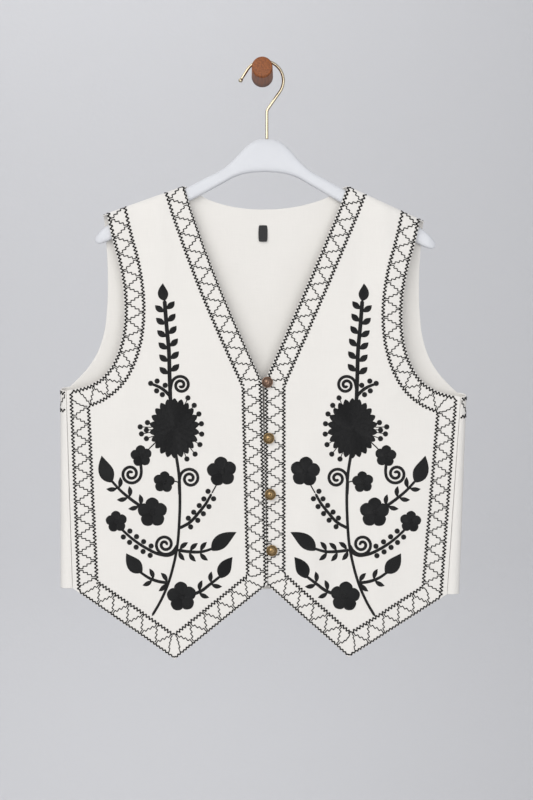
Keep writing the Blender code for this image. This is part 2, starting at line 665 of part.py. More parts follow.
def hook_path():
    """The wire's centre line from its ball tip over the peg and down into the hanger's top."""
    centre_z = PEG_BACK_RADIUS + SEAM_GAP + WIRE_RADIUS - HOOK_RADIUS
    start, end = math.radians(HOOK_TIP_ANGLE), math.radians(HOOK_THROAT_ANGLE)

    def on_arc(angle):
        return np.array(
            [HOOK_CENTRE_X + HOOK_RADIUS * math.cos(angle), centre_z + HOOK_RADIUS * math.sin(angle)]
        )

    outward = np.array([-math.sin(start), math.cos(start)])
    tip = [on_arc(start) + outward * HOOK_TIP_LENGTH * share for share in (1.0, 0.94, 0.87, 0.79, 0.4)]
    arc = [on_arc(a) for a in np.linspace(start, end, 30)]
    throat = np.array([math.sin(end), -math.cos(end)])
    turn = math.radians(-HOOK_THROAT_ANGLE)
    tangent = HOOK_BEND_RADIUS * math.tan(turn / 2)
    run = (HANGER_X - arc[-1][0]) / throat[0]
    bend_start = arc[-1] + throat * (run - tangent)
    bend_centre = np.array([HANGER_X + HOOK_BEND_RADIUS, 0.0])
    bend_centre[1] = arc[-1][1] + throat[1] * run - tangent
    bend = []
    for share in np.linspace(0.0, 1.0, 6):
        angle = math.pi - turn * (1.0 - share)
        bend.append(bend_centre + HOOK_BEND_RADIUS * np.array([math.cos(angle), math.sin(angle)]))
    assert np.linalg.norm(bend[0] - bend_start) < 0.1
    foot = np.array([HANGER_X, HANGER_ARM[0]["top"] + SEAM_GAP])
    return [*tip, *arc, *bend, foot + np.array([0.0, 12.0]), foot]


def add_hook(material):
    """The bent wire as a bevelled curve, with a small ball at its free end."""
    path = hook_path()
    curve = bpy.data.curves.new("hook", "CURVE")
    curve.dimensions = "3D"
    curve.bevel_depth = WIRE_RADIUS * MM
    curve.bevel_resolution = 2
    curve.use_fill_caps = True
    spline = curve.splines.new("POLY")
    spline.points.add(len(path) - 1)
    swell = {0: 0.75, 1: HOOK_BALL, 2: HOOK_BALL, 3: 1.0}
    for k, (x, z) in enumerate(path):
        spline.points[k].co = (x * MM, -HANGER_STAND * MM, z * MM, 1.0)
        spline.points[k].radius = swell.get(k, 1.0)
    curve.materials.append(material)
    thing = bpy.data.objects.new("hook", curve)
    bpy.context.scene.collection.objects.link(thing)
    return thing


def button_places():
    """Out and drop of each button on the right front."""
    shares = np.linspace(0.0, 1.0, BUTTON_COUNT)
    outs = BUTTON_OUT_TOP + (BUTTON_OUT_BOTTOM - BUTTON_OUT_TOP) * shares
    return [(float(o), BUTTON_TOP_DROP + BUTTON_STEP * k) for k, o in enumerate(outs)]


def surface_of(thing):
    """A tree for finding the stand of an object's front face, in millimetres."""
    mesh = thing.data
    mesh.calc_loop_triangles()
    points = [v.co / MM for v in mesh.vertices]
    return BVHTree.FromPolygons(points, [tuple(t.vertices) for t in mesh.loop_triangles])


def outer_y(tree, x, z):
    """The y of the surface that someone in front meets first at x, z."""
    hit = tree.ray_cast(Vector((x, -200.0, z)), Vector((0.0, 1.0, 0.0)))
    return hit[0].y


def add_buttons(front, metal, cord):
    """Domed metal buttons on shanks, and a cord loop round each shank from the other front's edge."""
    tree = surface_of(front)
    left = HALVES["left"]
    for k, (out, drop) in enumerate(button_places(), start=1):
        x, z = CENTRE_X + out, SHOULDER_Z - drop
        y = outer_y(tree, x, z) - SEAM_GAP
        rim = SHANK_LENGTH + BUTTON_RIM
        dome = [(BUTTON_RADIUS * math.cos(t), rim + BUTTON_DOME * math.sin(t))
                for t in np.linspace(0.0, math.pi / 2 * 0.93, 5)]
        shank = [(SHANK_RADIUS, 0.0), (SHANK_RADIUS, SHANK_LENGTH), (BUTTON_RADIUS - 0.5, SHANK_LENGTH)]
        profile = [*shank, *dome]
        turned(f"button_{k}", profile, (x, y, z), 18, metal)
        share = (drop - NECK_DROP) / (left["edge_hem"] - NECK_DROP)
        edge = CENTRE_X - (left["edge_top"] + (left["edge_bottom"] - left["edge_top"]) * share)
        centre_y = y - LOOP_RADIUS - 0.1
        add_loop(f"loop_{k}", edge + SEAM_GAP + 0.15, x, centre_y, z, cord)


def add_loop(name, start_x, shank_x, y, z, material):
    """A U of cord that leaves the edge, goes round the shank and comes back."""
    angles = np.linspace(math.pi / 2, -math.pi / 2, 7)
    bend = [(shank_x + LOOP_HALF_WIDTH * math.cos(a), z + LOOP_HALF_WIDTH * math.sin(a)) for a in angles]
    ends = [(start_x, z + LOOP_HALF_WIDTH), (start_x, z - LOOP_HALF_WIDTH)]
    curve = bpy.data.curves.new(name, "CURVE")
    curve.dimensions = "3D"
    curve.bevel_depth = LOOP_RADIUS * MM
    curve.bevel_resolution = 1
    curve.use_fill_caps = True
    spline = curve.splines.new("POLY")
    path = [ends[0], *bend, ends[1]]
    spline.points.add(len(path) - 1)
    for k, (px, pz) in enumerate(path):
        spline.points[k].co = (px * MM, y * MM, pz * MM, 1.0)
    curve.materials.append(material)
    thing = bpy.data.objects.new(name, curve)
    bpy.context.scene.collection.objects.link(thing)


def add_label(back, material):
    """The small woven label inside the back's neck: a strip that stands off a little at its foot."""
    tree = surface_of(back)
    rows = 5
    sections = []
    for row in range(rows):
        share = row / (rows - 1)
        z = SHOULDER_Z - LABEL["drop"] + LABEL["height"] * (0.5 - share)
        places = [LABEL["x"] + LABEL["width"] * half for half in (-0.5, 0.5)]
        near = [outer_y(tree, x, z) - SEAM_GAP - LABEL["kick"] * share**2 for x in places]
        behind = [(x, y, z) for x, y in zip(places, near)]
        before = [(x, y - LABEL["thickness"], z) for x, y in zip(places, near)]
        sections.append(behind + before[::-1])
    return rings("label", sections, material)


LEAF_SHARES = [
    {"along": 0.0, "wide": 0.25},
    {"along": 0.2, "wide": 0.85},
    {"along": 0.42, "wide": 1.0},
    {"along": 0.72, "wide": 0.55},
    {"along": 1.0, "wide": 0.0},
]


def ribbon(path, width, taper=1.0):
    """A flat strip of the given width about a path, as one closed outline."""
    path = np.array(path, float)
    along = np.gradient(path, axis=0)
    along = along / np.linalg.norm(along, axis=1, keepdims=True)
    across = np.stack([-along[:, 1], along[:, 0]], axis=1)
    half = width / 2 * np.linspace(1.0, taper, len(path))[:, None]
    return np.concatenate([path + across * half, (path - across * half)[::-1]])


def leaf(base, tip, width):
    """A pointed leaf from base to tip, widest nearer its base."""
    base, tip = np.array(base, float), np.array(tip, float)
    along = tip - base
    across = np.array([-along[1], along[0]]) / np.linalg.norm(along)
    shares = LEAF_SHARES if width > 8 else LEAF_SHARES[::2]
    one = [base + along * s["along"] + across * s["wide"] * width / 2 for s in shares]
    other = [base + along * s["along"] - across * s["wide"] * width / 2 for s in shares[:-1]]
    return np.array(one + other[::-1])


def flower(out, drop, radius, petals=5, points=20, dent=0.16):
    """A flower of round petals: a circle whose radius dips between them."""
    angle = np.linspace(0.0, 2 * math.pi, points, endpoint=False)
    reach = radius * (1.0 - dent * (1.0 - np.abs(np.cos(petals * angle / 2))) * 1.9)
    return np.stack([out + reach * np.sin(angle), drop - reach * np.cos(angle)], axis=1)


def dahlia(out, drop, half_width, half_height, petals):
    """The large flower: an oval with a point for each petal."""
    angle = np.linspace(0.0, 2 * math.pi, 2 * petals, endpoint=False)
    reach = np.where(np.arange(2 * petals) % 2 == 0, 1.05, 0.86)
    across = half_width * reach * np.sin(angle)
    up = half_height * reach * np.cos(angle)
    return np.stack([out + across, drop - up], axis=1)


def side_leaves(path, pairs, reach, width, first=0.12, last=0.9):
    """Small leaves in pairs along a path, each at a slant towards the path's end."""
    path = np.array(path, float)
    along = np.gradient(path, axis=0)
    along = along / np.linalg.norm(along, axis=1, keepdims=True)
    leaves = []
    for share in np.linspace(first, last, pairs):
        k = int(round(share * (len(path) - 1)))
        across = np.array([-along[k, 1], along[k, 0]])
        for sign in (1, -1):
            root = path[k] - sign * across * 0.2
            leaves.append(leaf(root, root + reach * (0.72 * sign * across + 0.70 * along[k]), width))
    return leaves


def berries(path, pairs, reach, radius):
    """Round berries in pairs along a path, each touching it."""
    path = np.array(path, float)
    along = np.gradient(path, axis=0)
    along = along / np.linalg.norm(along, axis=1, keepdims=True)
    found = []
    for share in np.linspace(0.2, 0.92, pairs):
        k = int(round(share * (len(path) - 1)))
        across = np.array([-along[k, 1], along[k, 0]])
        for sign in (1, -1):
            middle = path[k] + sign * across * reach
            angle = np.linspace(0.0, 2 * math.pi, 5, endpoint=False)
            found.append(middle + radius * np.stack([np.cos(angle), np.sin(angle)], axis=1))
    return found


def spray_shapes():
    """Every outline of one front's embroidered spray, as out and drop, all touching."""
    stem = smooth_path(STEM, 21)
    paths = {name: smooth_path(points, 2 * len(points) - 2) for name, points in TWIGS.items()}
    shapes = [ribbon(stem, STEM_WIDTH)]
    shapes += [ribbon(path, TWIG_WIDTH) for path in paths.values()]
    shapes += side_leaves(stem[:7][::-1], 6, 13.0, 5.6, first=0.0, last=0.95)
    shapes += berries(paths["berries_inner"], 4, 3.6, 3.0)
    shapes += berries(paths["berries_outer"], 4, 3.6, 3.0)
    shapes += berries(paths["sprig"], 2, 3.6, 3.0)
    shapes += [leaf(**row) for row in BIG_LEAVES]
    shapes += [flower(**row) for row in FLOWERS]
    shapes.append(dahlia(**DAHLIA))
    return shapes


def joined(shapes):
    """One flat mesh of everything that lies inside any of the shapes."""
    points, faces = [], []
    for shape in shapes:
        ahead = np.roll(shape, -1, axis=0)
        if np.sum(shape[:, 0] * ahead[:, 1] - ahead[:, 0] * shape[:, 1]) < 0:
            shape = shape[::-1]
        faces.append(list(range(len(points), len(points) + len(shape))))
        points += [Vector((float(p[0]), float(p[1]))) for p in shape]
    flat, _, triangles, _, _, inside = delaunay_2d_cdt(points, [], faces, 0, 0.02, True)
    kept = [t for t, owners in zip(triangles, inside) if owners]
    return np.array([tuple(p) for p in flat]), kept


def add_spray(side, front, material):
    """The raised embroidery of one front, laid on the panel's own points and moved out."""
    flat, triangles = joined(spray_shapes())
    used = sorted({k for t in triangles for k in t})
    number = {k: n for n, k in enumerate(used)}
    tree = surface_of(front)
    sign = HALVES[side]["sign"]
    under, over = [], []
    for k in used:
        x, z = CENTRE_X + sign * flat[k, 0], SHOULDER_Z - flat[k, 1]
        around = [(x + i * THREAD_NEAR, z + j * THREAD_NEAR) for i, j in THREAD_PROBES]
        y = min(outer_y(tree, *place) for place in around) - THREAD_GAP
        under.append((x, y, z))
        over.append((x, y - THREAD_HEIGHT, z))
    count = len(used)
    tops = [tuple(number[k] for k in t) for t in triangles]
    first = [np.array(under[i]) for i in tops[0]]
    facing = np.cross(first[1] - first[0], first[2] - first[0])[1]
    if facing > 0:
        tops = [t[::-1] for t in tops]
    edges = {(t[k], t[(k + 1) % 3]) for t in tops for k in range(3)}
    rim = [(a, b) for a, b in edges if (b, a) not in edges]
    faces = [tuple(k + count for k in t) for t in tops]
    faces += [t[::-1] for t in tops]
    faces += [(a, b, b + count, a + count) for a, b in sorted(rim)]
    return add_mesh("embroidery_" + side, under + over, faces, material, smooth=False)


def main():
    clear_scene()
    cloth = finish_material("cloth", (0.86, 0.84, 0.80), 0.9)
    thread = finish_material("thread", (0.02, 0.02, 0.022), 0.8)
    painted = finish_material("painted_wood", (0.85, 0.86, 0.88), 0.4)
    brass = finish_material("brass", (0.78, 0.62, 0.32), 0.25, 1.0)
    bronze = finish_material("bronze", (0.30, 0.18, 0.10), 0.35, 1.0)
    wood = finish_material("wood", (0.36, 0.16, 0.06), 0.5)
    cord = finish_material("cord", (0.82, 0.80, 0.76), 0.9)
    ink = finish_material("label_cloth", (0.02, 0.02, 0.02), 0.8)
    fronts = {side: add_front(side, cloth) for side in HALVES}
    back = add_back(cloth)
    add_peg(wood)
    add_hanger(painted)
    add_hook(brass)
    add_buttons(fronts["right"], bronze, cord)
    add_label(back, ink)
    for side, front in fronts.items():
        add_spray(side, front, thread)


main()
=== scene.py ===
# %% [markdown]
# # An embroidered folk vest on its hanger
#
# The real vest is cut from off-white cotton: two fronts with pointed hems and one back that wraps
# round the sides. A sewing machine draws black zigzag and stair-step lines round the fronts, and the
# flower sprays are satin stitch over padding. This lesson builds each piece as a surface worked out
# with numpy, in the same measures as the CAD part: "out" from the centre line, "drop" below the
# shoulder and "stand" from the wall, all in millimetres.

import math

import bpy
import numpy as np
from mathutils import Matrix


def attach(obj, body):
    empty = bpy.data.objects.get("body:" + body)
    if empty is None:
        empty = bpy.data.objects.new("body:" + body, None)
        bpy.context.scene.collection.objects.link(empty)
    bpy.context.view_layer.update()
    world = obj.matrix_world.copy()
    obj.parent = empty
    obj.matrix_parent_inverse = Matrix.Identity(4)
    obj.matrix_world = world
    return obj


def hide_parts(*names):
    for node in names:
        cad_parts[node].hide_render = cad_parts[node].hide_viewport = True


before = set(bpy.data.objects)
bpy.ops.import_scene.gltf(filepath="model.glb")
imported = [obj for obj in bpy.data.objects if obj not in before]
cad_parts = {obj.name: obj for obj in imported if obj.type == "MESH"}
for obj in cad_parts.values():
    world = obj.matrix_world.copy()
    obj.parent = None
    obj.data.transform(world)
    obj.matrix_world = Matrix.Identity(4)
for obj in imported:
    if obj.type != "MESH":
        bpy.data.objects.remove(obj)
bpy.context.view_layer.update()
print("CAD nodes:", ", ".join(sorted(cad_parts)))

# %% [markdown]
# ## Helpers for closed surfaces
#
# Blender can spin, bevel and skin shapes, but a garment needs thousands of small ones that follow a
# surface. So each piece here is an array of points and an array of faces, put into the mesh in one
# go. The first three helpers make a mesh, weave the faces of a grid, and loft many closed forms at
# once, such as a leaf, a berry or a stitch, through rings that end in a point at both ends. The others
# measure chains of points and draw smooth curves through them.

# %% Meshes from arrays
MM = 0.001


def make_piece(name, points, faces, corner_uv, material, masks=None):
    """A piece from points in millimetres, faces (n, 4) and a UV for each face corner (n, 4, 2).

    A face whose last two corners are the same point is a triangle. masks holds one number a point.
    """
    triangle = faces[:, 2] == faces[:, 3]
    corners = np.ones(faces.shape, bool)
    corners[triangle, 3] = False
    sizes = corners.sum(1)
    mesh = bpy.data.meshes.new(name)
    mesh.vertices.add(len(points))
    mesh.vertices.foreach_set("co", (np.asarray(points, float) * MM).ravel())
    mesh.loops.add(int(sizes.sum()))
    mesh.loops.foreach_set("vertex_index", faces[corners].astype(np.int32))
    mesh.polygons.add(len(faces))
    mesh.polygons.foreach_set("loop_start", (np.cumsum(sizes) - sizes).astype(np.int32))
    mesh.update(calc_edges=True)
    layer = mesh.uv_layers.new(name="cut")
    layer.data.foreach_set("uv", (corner_uv[corners] * MM).astype(np.float32).ravel())
    for key, values in (masks or {}).items():
        mask = mesh.attributes.new(key, "FLOAT", "POINT")
        mask.data.foreach_set("value", np.asarray(values, np.float32).ravel())
    if mesh.validate():
        print(name, "had faces that were put right")
    mesh.shade_smooth()
    mesh.materials.append(material)
    thing = bpy.data.objects.new(name, mesh)
    bpy.context.scene.collection.objects.link(thing)
    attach(thing, "root")
    print(f"{name}: {len(points)} points, {2 * len(faces) - int(triangle.sum())} triangles")
    return thing


def grid_quads(rows, columns, closed=False):
    """Faces of a grid of rows x columns points, and the grid place (row, column) of each corner."""
    row, column = np.meshgrid(np.arange(rows - 1), np.arange(columns - (not closed)), indexing="ij")
    row, column = row.ravel(), column.ravel()
    places = np.stack(
        [
            np.stack([row, column], -1),
            np.stack([row, column + 1], -1),
            np.stack([row + 1, column + 1], -1),
            np.stack([row + 1, column], -1),
        ],
        axis=1,
    )
    return places[..., 0] * columns + places[..., 1] % columns, places


def lofts(rings, starts, ends, uv):
    """Many closed forms at once. rings is (form, ring, side, 3) and starts and ends are (form, 3).

    Neighbouring rings are joined by quads and each end by a fan to its point. uv is
    (form, ring + 2, side + 1, 2): the surface's own measure at each ring, its ends included.
    """
    forms, count, sides = rings.shape[:3]
    points = np.concatenate([rings.reshape(forms, -1, 3), starts[:, None], ends[:, None]], axis=1)
    quads, places = grid_quads(count, sides, closed=True)
    side = np.arange(sides)
    after = (side + 1) % sides
    first, last = count * sides, count * sides + 1
    low = np.stack([after, side, np.full(sides, first), np.full(sides, first)], axis=1)
    top = (count - 1) * sides
    high = np.stack([side + top, after + top, np.full(sides, last), np.full(sides, last)], axis=1)
    faces = np.concatenate([quads, low, high])
    step = np.array([[1, 0, 0, 0]]) + side[:, None]
    low_uv = np.stack([np.broadcast_to([1, 1, 0, 0], step.shape), step], axis=-1)
    step = np.array([[0, 1, 0, 0]]) + side[:, None]
    high_uv = np.stack([np.broadcast_to([count, count, count + 1, count + 1], step.shape), step], -1)
    where = np.concatenate([places + [1, 0], low_uv, high_uv])
    corner_uv = uv[:, where[..., 0], where[..., 1]]
    shift = np.arange(forms) * points.shape[1]
    faces = faces[None] + shift[:, None, None]
    return points.reshape(-1, 3), faces.reshape(-1, 4), corner_uv.reshape(-1, 4, 2)


def gathered(parts):
    """Several (points, faces, uv) as one."""
    shift = np.cumsum([0] + [len(p[0]) for p in parts[:-1]])
    return (
        np.concatenate([p[0] for p in parts]),
        np.concatenate([p[1] + s for p, s in zip(parts, shift)]),
        np.concatenate([p[2] for p in parts]),
    )


def ring_uv(run, across):
    """One form's UV for lofts: run goes along it, its ends included, and across round each ring."""
    uv = np.zeros((1, len(run), np.shape(across)[-1], 2))
    uv[0, :, :, 0] = run[:, None]
    uv[0, 1:-1, :, 1] = across
    return uv


def unit(vectors):
    """Vectors at a length of 1."""
    return vectors / np.maximum(np.linalg.norm(vectors, axis=-1, keepdims=True), 1e-9)


def quarter(along):
    """Flat directions turned a quarter."""
    return np.stack([-along[..., 1], along[..., 0]], axis=-1)


def round_turn(sides):
    """The angles of a ring's evenly spaced sides."""
    return 2 * math.pi * np.arange(sides) / sides


def squared(wave, power):
    """A sine or cosine to a power below 1 with its sign kept, which makes an oval squarer."""
    return np.abs(wave) ** power * np.sign(wave)


def ease(share):
    """A smooth step from 0 to 1 as share goes from 0 to 1."""
    share = np.clip(share, 0.0, 1.0)
    return share * share * (3.0 - 2.0 * share)


def lengths(points):
    """How far along a chain each of its points lies."""
    return np.r_[0.0, np.cumsum(np.linalg.norm(np.diff(points, axis=0), axis=1))]


def evenly(points, count):
    """count points, evenly spaced by length, along a chain of points."""
    points = np.array(points, float)
    along = lengths(points)
    wanted = np.linspace(0.0, along[-1], count)
    return np.stack([np.interp(wanted, along, points[:, k]) for k in range(points.shape[1])], 1)


def cubic(wanted, places, values, slopes):
    """Values at the wanted places, on a cubic between each two given ones with their slopes."""
    step = np.clip(np.searchsorted(places, wanted, side="right") - 1, 0, len(places) - 2)
    span = places[step + 1] - places[step]
    t = (wanted - places[step]) / span
    if values.ndim > 1:
        span, t = span[:, None], t[:, None]
    return (
        (2 * t**3 - 3 * t**2 + 1) * values[step]
        + (t**3 - 2 * t**2 + t) * span * slopes[step]
        + (3 * t**2 - 2 * t**3) * values[step + 1]
        + (t**3 - t**2) * span * slopes[step + 1]
    )


def smooth_path(points, count):
    """count points on a smooth curve through the given ones, each one's slope from those beside it."""
    points = np.array(points, float)
    chord = lengths(points)
    fine = np.linspace(0.0, chord[-1], 40 * len(points))
    return evenly(cubic(fine, chord, points, np.gradient(points, chord, axis=0)), count)


# %% [markdown]
# ## How the cloth hangs
#
# A tailor's cut is flat, and the hanging vest is that cut bent: over the shoulder, round both sides
# and into a few soft folds. Cloth simulation could find such a shape, but the vest has to keep the
# CAD part's form, so the same formulas place every point of the cut in space. Whatever is sewn on
# later, a stitch or a leaf, only has to ask them where its place on the cut went.

# %% The vest's sizes
CENTRE_X = 1.5
SHOULDER_Z = -142.5
CLOTH = 1.5
SEAM_GAP = 0.3
HALVES = {
    "left": {"sign": -1, "neck_out": 100.0, "neck_bow": 5.0, "sag": 0.0, "edge_top": 1.4,
             "edge_bottom": -5.0, "edge_hem": 498.0, "point_out": 110.6, "point_drop": 591.5,
             "fold_bottom": 254.0, "closure_lift": 1.3},
    "right": {"sign": 1, "neck_out": 106.0, "neck_bow": 1.0, "sag": 7.5, "edge_top": 1.2,
              "edge_bottom": 1.2, "edge_hem": 495.5, "point_out": 106.3, "point_drop": 589.0,
              "fold_bottom": 245.0, "closure_lift": -1.3},
}
NECK_DROP = 245.0
SHOULDER_TIP = (197.0, 34.5)
UNDERARM_DROP = 256.0
SIDE_HEM_DROP = 503.0
FRONT_ARMHOLE = [(188.5, 69), (180, 101), (174.5, 135), (173.8, 165), (177.5, 193), (186, 218),
                 (198, 236), (213, 247), (230, 253)]
BACK_ARMHOLE = [(198, 73), (196.2, 110), (197, 150), (201, 183), (208, 205), (219, 224), (233, 240)]
BACK_TIP_OUT = 201.5
BACK_NECK_DROP = 27.5
BACK_NECK_POWER = 2.2
BACK_HEM_DROP = 506.0
FOLD_OUT = 254.0
FOLD_RADIUS = 9.5
FOLD_MID_STAND = 21.5
FOLD_BLEND = 75.0
SEAM_INSET_TOP = 7.5
SEAM_INSET_BOTTOM = 15.5
FRONT_STAND = [(0, 27.2), (60, 29.5), (150, 32.5), (260, 34.0), (420, 33.0), (600, 31.5)]
BACK_STAND = [(0, 13.0), (60, 13.0), (150, 12.4), (260, 12.0), (420, 12.0), (600, 12.0)]
RIDGE_STAND = 22.0
ROLL_REACH = 26.0
CLOSURE_REACH = 30.0
SAG_REACH = 200.0
WRAP_RISE = 5.0

# The side's turn and the closure's lift start at these drops and grow over the next one. The small
# unevenness starts this far in from a front's turn, and dies out near the turn and near the ridge.
TURN_START = 150.0
CLOSURE_START = 120.0
GROWTH = 110.0
STILL_INSET = 16.0
STILL_SIDE = 40.0
STILL_TOP = 30.0

# Each row: out, lean, top, bottom, width and height of a soft ridge, or trough if below 0.
FRONT_FOLDS = {
    "left": [(133, -0.05, 0, 175, 13, 2.4), (158, 0.02, 5, 130, 12, -1.8),
             (172, 0.08, 235, 350, 15, 2.2), (206, 0.05, 250, 420, 16, -1.8),
             (62, 0.10, 300, 600, 20, 2.0), (150, 0.04, 400, 600, 22, -2.2)],
    "right": [(150, 0.06, 0, 190, 14, 2.4), (122, -0.04, 0, 150, 13, -1.6),
              (200, 0.03, 255, 440, 16, 2.0), (96, -0.05, 330, 600, 19, -2.6),
              (55, 0.03, 280, 600, 17, 2.0), (150, -0.06, 400, 600, 20, 2.4)],
}
BACK_FOLDS = {
    "left": [(140, -0.05, 20, 300, 20, -1.6), (70, 0.05, 180, 520, 24, 1.8),
             (180, 0.02, 300, 520, 22, -2.0)],
    "right": [(60, 0.08, 60, 380, 22, 1.8), (130, 0.03, 200, 520, 24, -2.0),
              (190, 0.01, 280, 520, 20, 1.4)],
}
FOLD_END = 60.0
HEM_FOLD = 520.0


def soft_folds(rows, out, drop):
    """The height that the folds add: each is a bell across, eased in and out along its length."""
    total = np.zeros_like(out)
    for middle, lean, top, bottom, width, height in rows:
        across = np.exp(-(((out - middle - lean * (drop - top)) / width) ** 2))
        start = ease((drop - top) / FOLD_END) if top > 0 else 1.0
        end = ease((bottom - drop) / FOLD_END) if bottom < HEM_FOLD else 1.0
        total = total + height * across * start * end
    return total


def wander(u, v, scale, seed):
    """Gentle unevenness about 0: the sum of six slanted waves near the given wavelength."""
    dice = np.random.default_rng(seed)
    total = np.zeros_like(u)
    for _ in range(6):
        angle, phase = dice.uniform(0, math.pi), dice.uniform(0, 2 * math.pi)
        pitch = scale * dice.uniform(0.7, 1.5)
        total = total + np.sin(2 * math.pi / pitch * (u * math.cos(angle) + v * math.sin(angle)) + phase)
    return total / 6


def fold_out(half, drop):
    """How far out the side's turn lies at each drop."""
    share = (drop - half["sag"] - UNDERARM_DROP) / (SIDE_HEM_DROP - UNDERARM_DROP)
    return FOLD_OUT + (half["fold_bottom"] - FOLD_OUT) * np.clip(share, 0.0, 1.0)


def ridge_drop(half, out):
    """The shoulder's ridge: a straight line through the neck point and the shoulder's tip."""
    tip_out, tip_drop = SHOULDER_TIP
    return (tip_drop + half["sag"]) / (tip_out - half["neck_out"]) * (out - half["neck_out"])


def roll_over(half, out, drop, stand):
    """Turns the cloth near the shoulder over the ridge: a quarter circle, then the flat part."""
    radius = np.abs(stand - RIDGE_STAND)
    below = np.maximum(drop - ridge_drop(half, out), 0.0) + SEAM_GAP / 2
    quarter = radius * math.pi / 2
    length = below * (1.0 + (quarter - radius) / ROLL_REACH)
    angle = np.minimum(length / radius, math.pi / 2)
    fallen = np.where(length < quarter, radius * (1 - np.cos(angle)), radius + length - quarter)
    near = below < ROLL_REACH
    rolled = RIDGE_STAND + np.sign(stand - RIDGE_STAND) * radius * np.sin(angle)
    return np.where(near, ridge_drop(half, out) + fallen, drop), np.where(near, rolled, stand)


def in_space(half, out, drop, stand):
    """Out, drop and stand as x, y, z."""
    return np.stack([CENTRE_X + half["sign"] * out, -stand, SHOULDER_Z - drop], axis=-1)


def place_front(side, out, drop):
    """Where a place on a front's cut lies on the hanging vest."""
    half = HALVES[side]
    inset = fold_out(half, drop) - out
    share = ease(1.0 - (inset - 2 * FOLD_RADIUS) / FOLD_BLEND) * ease((drop - TURN_START) / GROWTH)
    lift = half["closure_lift"] * ease(1.0 - (out - 3) / CLOSURE_REACH)
    lift = lift * ease((drop - CLOSURE_START) / GROWTH)
    stand = np.interp(drop, *zip(*FRONT_STAND)) + lift + soft_folds(FRONT_FOLDS[side], out, drop)
    stand = stand + (FOLD_MID_STAND + FOLD_RADIUS - stand) * share
    turned = np.sqrt(np.maximum(FOLD_RADIUS**2 - np.maximum(FOLD_RADIUS - inset, 0.0) ** 2, 0.0))
    stand = np.where(inset < FOLD_RADIUS, FOLD_MID_STAND + turned, stand)
    still = ease((inset - STILL_INSET) / STILL_SIDE) * ease((drop - ridge_drop(half, out)) / STILL_TOP)
    stand = stand + crumple(side, "front", out, drop) * still
    drop, stand = roll_over(half, out, drop, stand)
    return in_space(half, out, drop, stand)


def place_back(side, length, drop):
    """Where a place on the back's cut lies. length runs out along the cloth and round the side."""
    half = HALVES[side]
    drop = drop + half["sag"] * ease(length / SAG_REACH)
    start = fold_out(half, drop) - FOLD_RADIUS
    past = np.maximum(length - start, 0.0)
    angle = np.minimum(past / FOLD_RADIUS, math.pi)
    beyond = np.maximum(past - math.pi * FOLD_RADIUS, 0.0)
    out = np.minimum(length, start) + FOLD_RADIUS * np.sin(angle) - beyond
    share = ease(1.0 - (start - length) / FOLD_BLEND) * ease((drop - TURN_START) / GROWTH)
    stand = np.interp(drop, *zip(*BACK_STAND)) - soft_folds(BACK_FOLDS[side], out, drop)
    stand = stand + (FOLD_MID_STAND - FOLD_RADIUS - stand) * share
    stand = np.where(past > 0, FOLD_MID_STAND - FOLD_RADIUS * np.cos(angle), stand)
    still = ease((start - length) / STILL_SIDE) * ease((drop - ridge_drop(half, out)) / STILL_TOP)
    stand = stand + crumple(side, "back", out, drop) * still
    rolled_drop, rolled_stand = roll_over(half, out, drop, stand)
    drop = np.where(past > 0, drop, rolled_drop)
    stand = np.where(past > 0, stand, rolled_stand)
    return in_space(half, out, drop, stand)


# %% [markdown]
# Pressed cotton is never quite flat. Long soft waves and a few short creases by the shoulder keep
# the panels from looking like plates. They are far smaller than the folds, so the piece stays in the
# CAD part's box.

# %% Small unevenness of the cloth
CRUMPLE_HEIGHT = 0.55
LONG_WAVE = 62.0
LONG_STRETCH = 0.45
SHORT_WAVE = 23.0
SHORT_SHARE = 0.35

# Each row: out, drop, slant in radians from straight down, half length, half width and height.
CREASE_ROWS = {
    "left": [(104, 38, 0.9, 16, 3.2, 0.5), (150, 60, -0.2, 26, 4.5, 0.45),
             (178, 262, 0.7, 20, 4.0, 0.5), (58, 470, -0.5, 24, 5.0, 0.5),
             (222, 300, 0.1, 30, 5.0, -0.5)],
    "right": [(172, 48, 0.5, 14, 2.8, 0.9), (160, 52, 0.4, 13, 2.6, -0.7),
              (148, 50, 0.2, 16, 3.2, 0.7), (166, 258, -0.8, 20, 4.0, 0.6),
              (64, 452, 0.4, 26, 5.0, -0.5), (215, 330, -0.1, 34, 5.0, 0.5)],
}


def crumple(side, panel, out, drop):
    """Long waves, and on a front the short creases: each a bell across a slanted line."""
    sign = HALVES[side]["sign"]
    seed = 3 if panel == "front" else 11
    waves = wander(sign * out, drop * LONG_STRETCH, LONG_WAVE, seed)
    waves = waves + SHORT_SHARE * wander(sign * out, drop, SHORT_WAVE, seed + 1)
    total = CRUMPLE_HEIGHT * waves * ease((drop + 10) / 60)
    if panel == "front":
        for middle, level, slant, reach, width, height in CREASE_ROWS[side]:
            across = (out - middle) * math.cos(slant) - (drop - level) * math.sin(slant)
            along = (out - middle) * math.sin(slant) + (drop - level) * math.cos(slant)
            total = total + height * np.exp(-((across / width) ** 2) - (along / reach) ** 2)
    return total


PLACE = {"front": place_front, "back": place_back}


def way_round(panel, side):
    """1 or -1: which way round a panel's cut lies, as seen from outside."""
    return -HALVES[side]["sign"] if panel == "front" else HALVES[side]["sign"]


def on_cloth(panel, side, out, drop, height):
    """Points at a height above a panel's outer skin, and the direction that it faces there.

    The direction is the cross product of the steps that a small move out and a small move down
    make in space, turned away from the inside of the vest.
    """
    place = PLACE[panel]
    step = 0.4
    here = place(side, out, drop)
    rightwards = place(side, out + step, drop) - place(side, out - step, drop)
    downwards = place(side, out, drop + step) - place(side, out, drop - step)
    facing = unit(np.cross(rightwards, downwards) * way_round(panel, side))
    return here + facing * (CLOTH / 2 + height)[..., None], facing


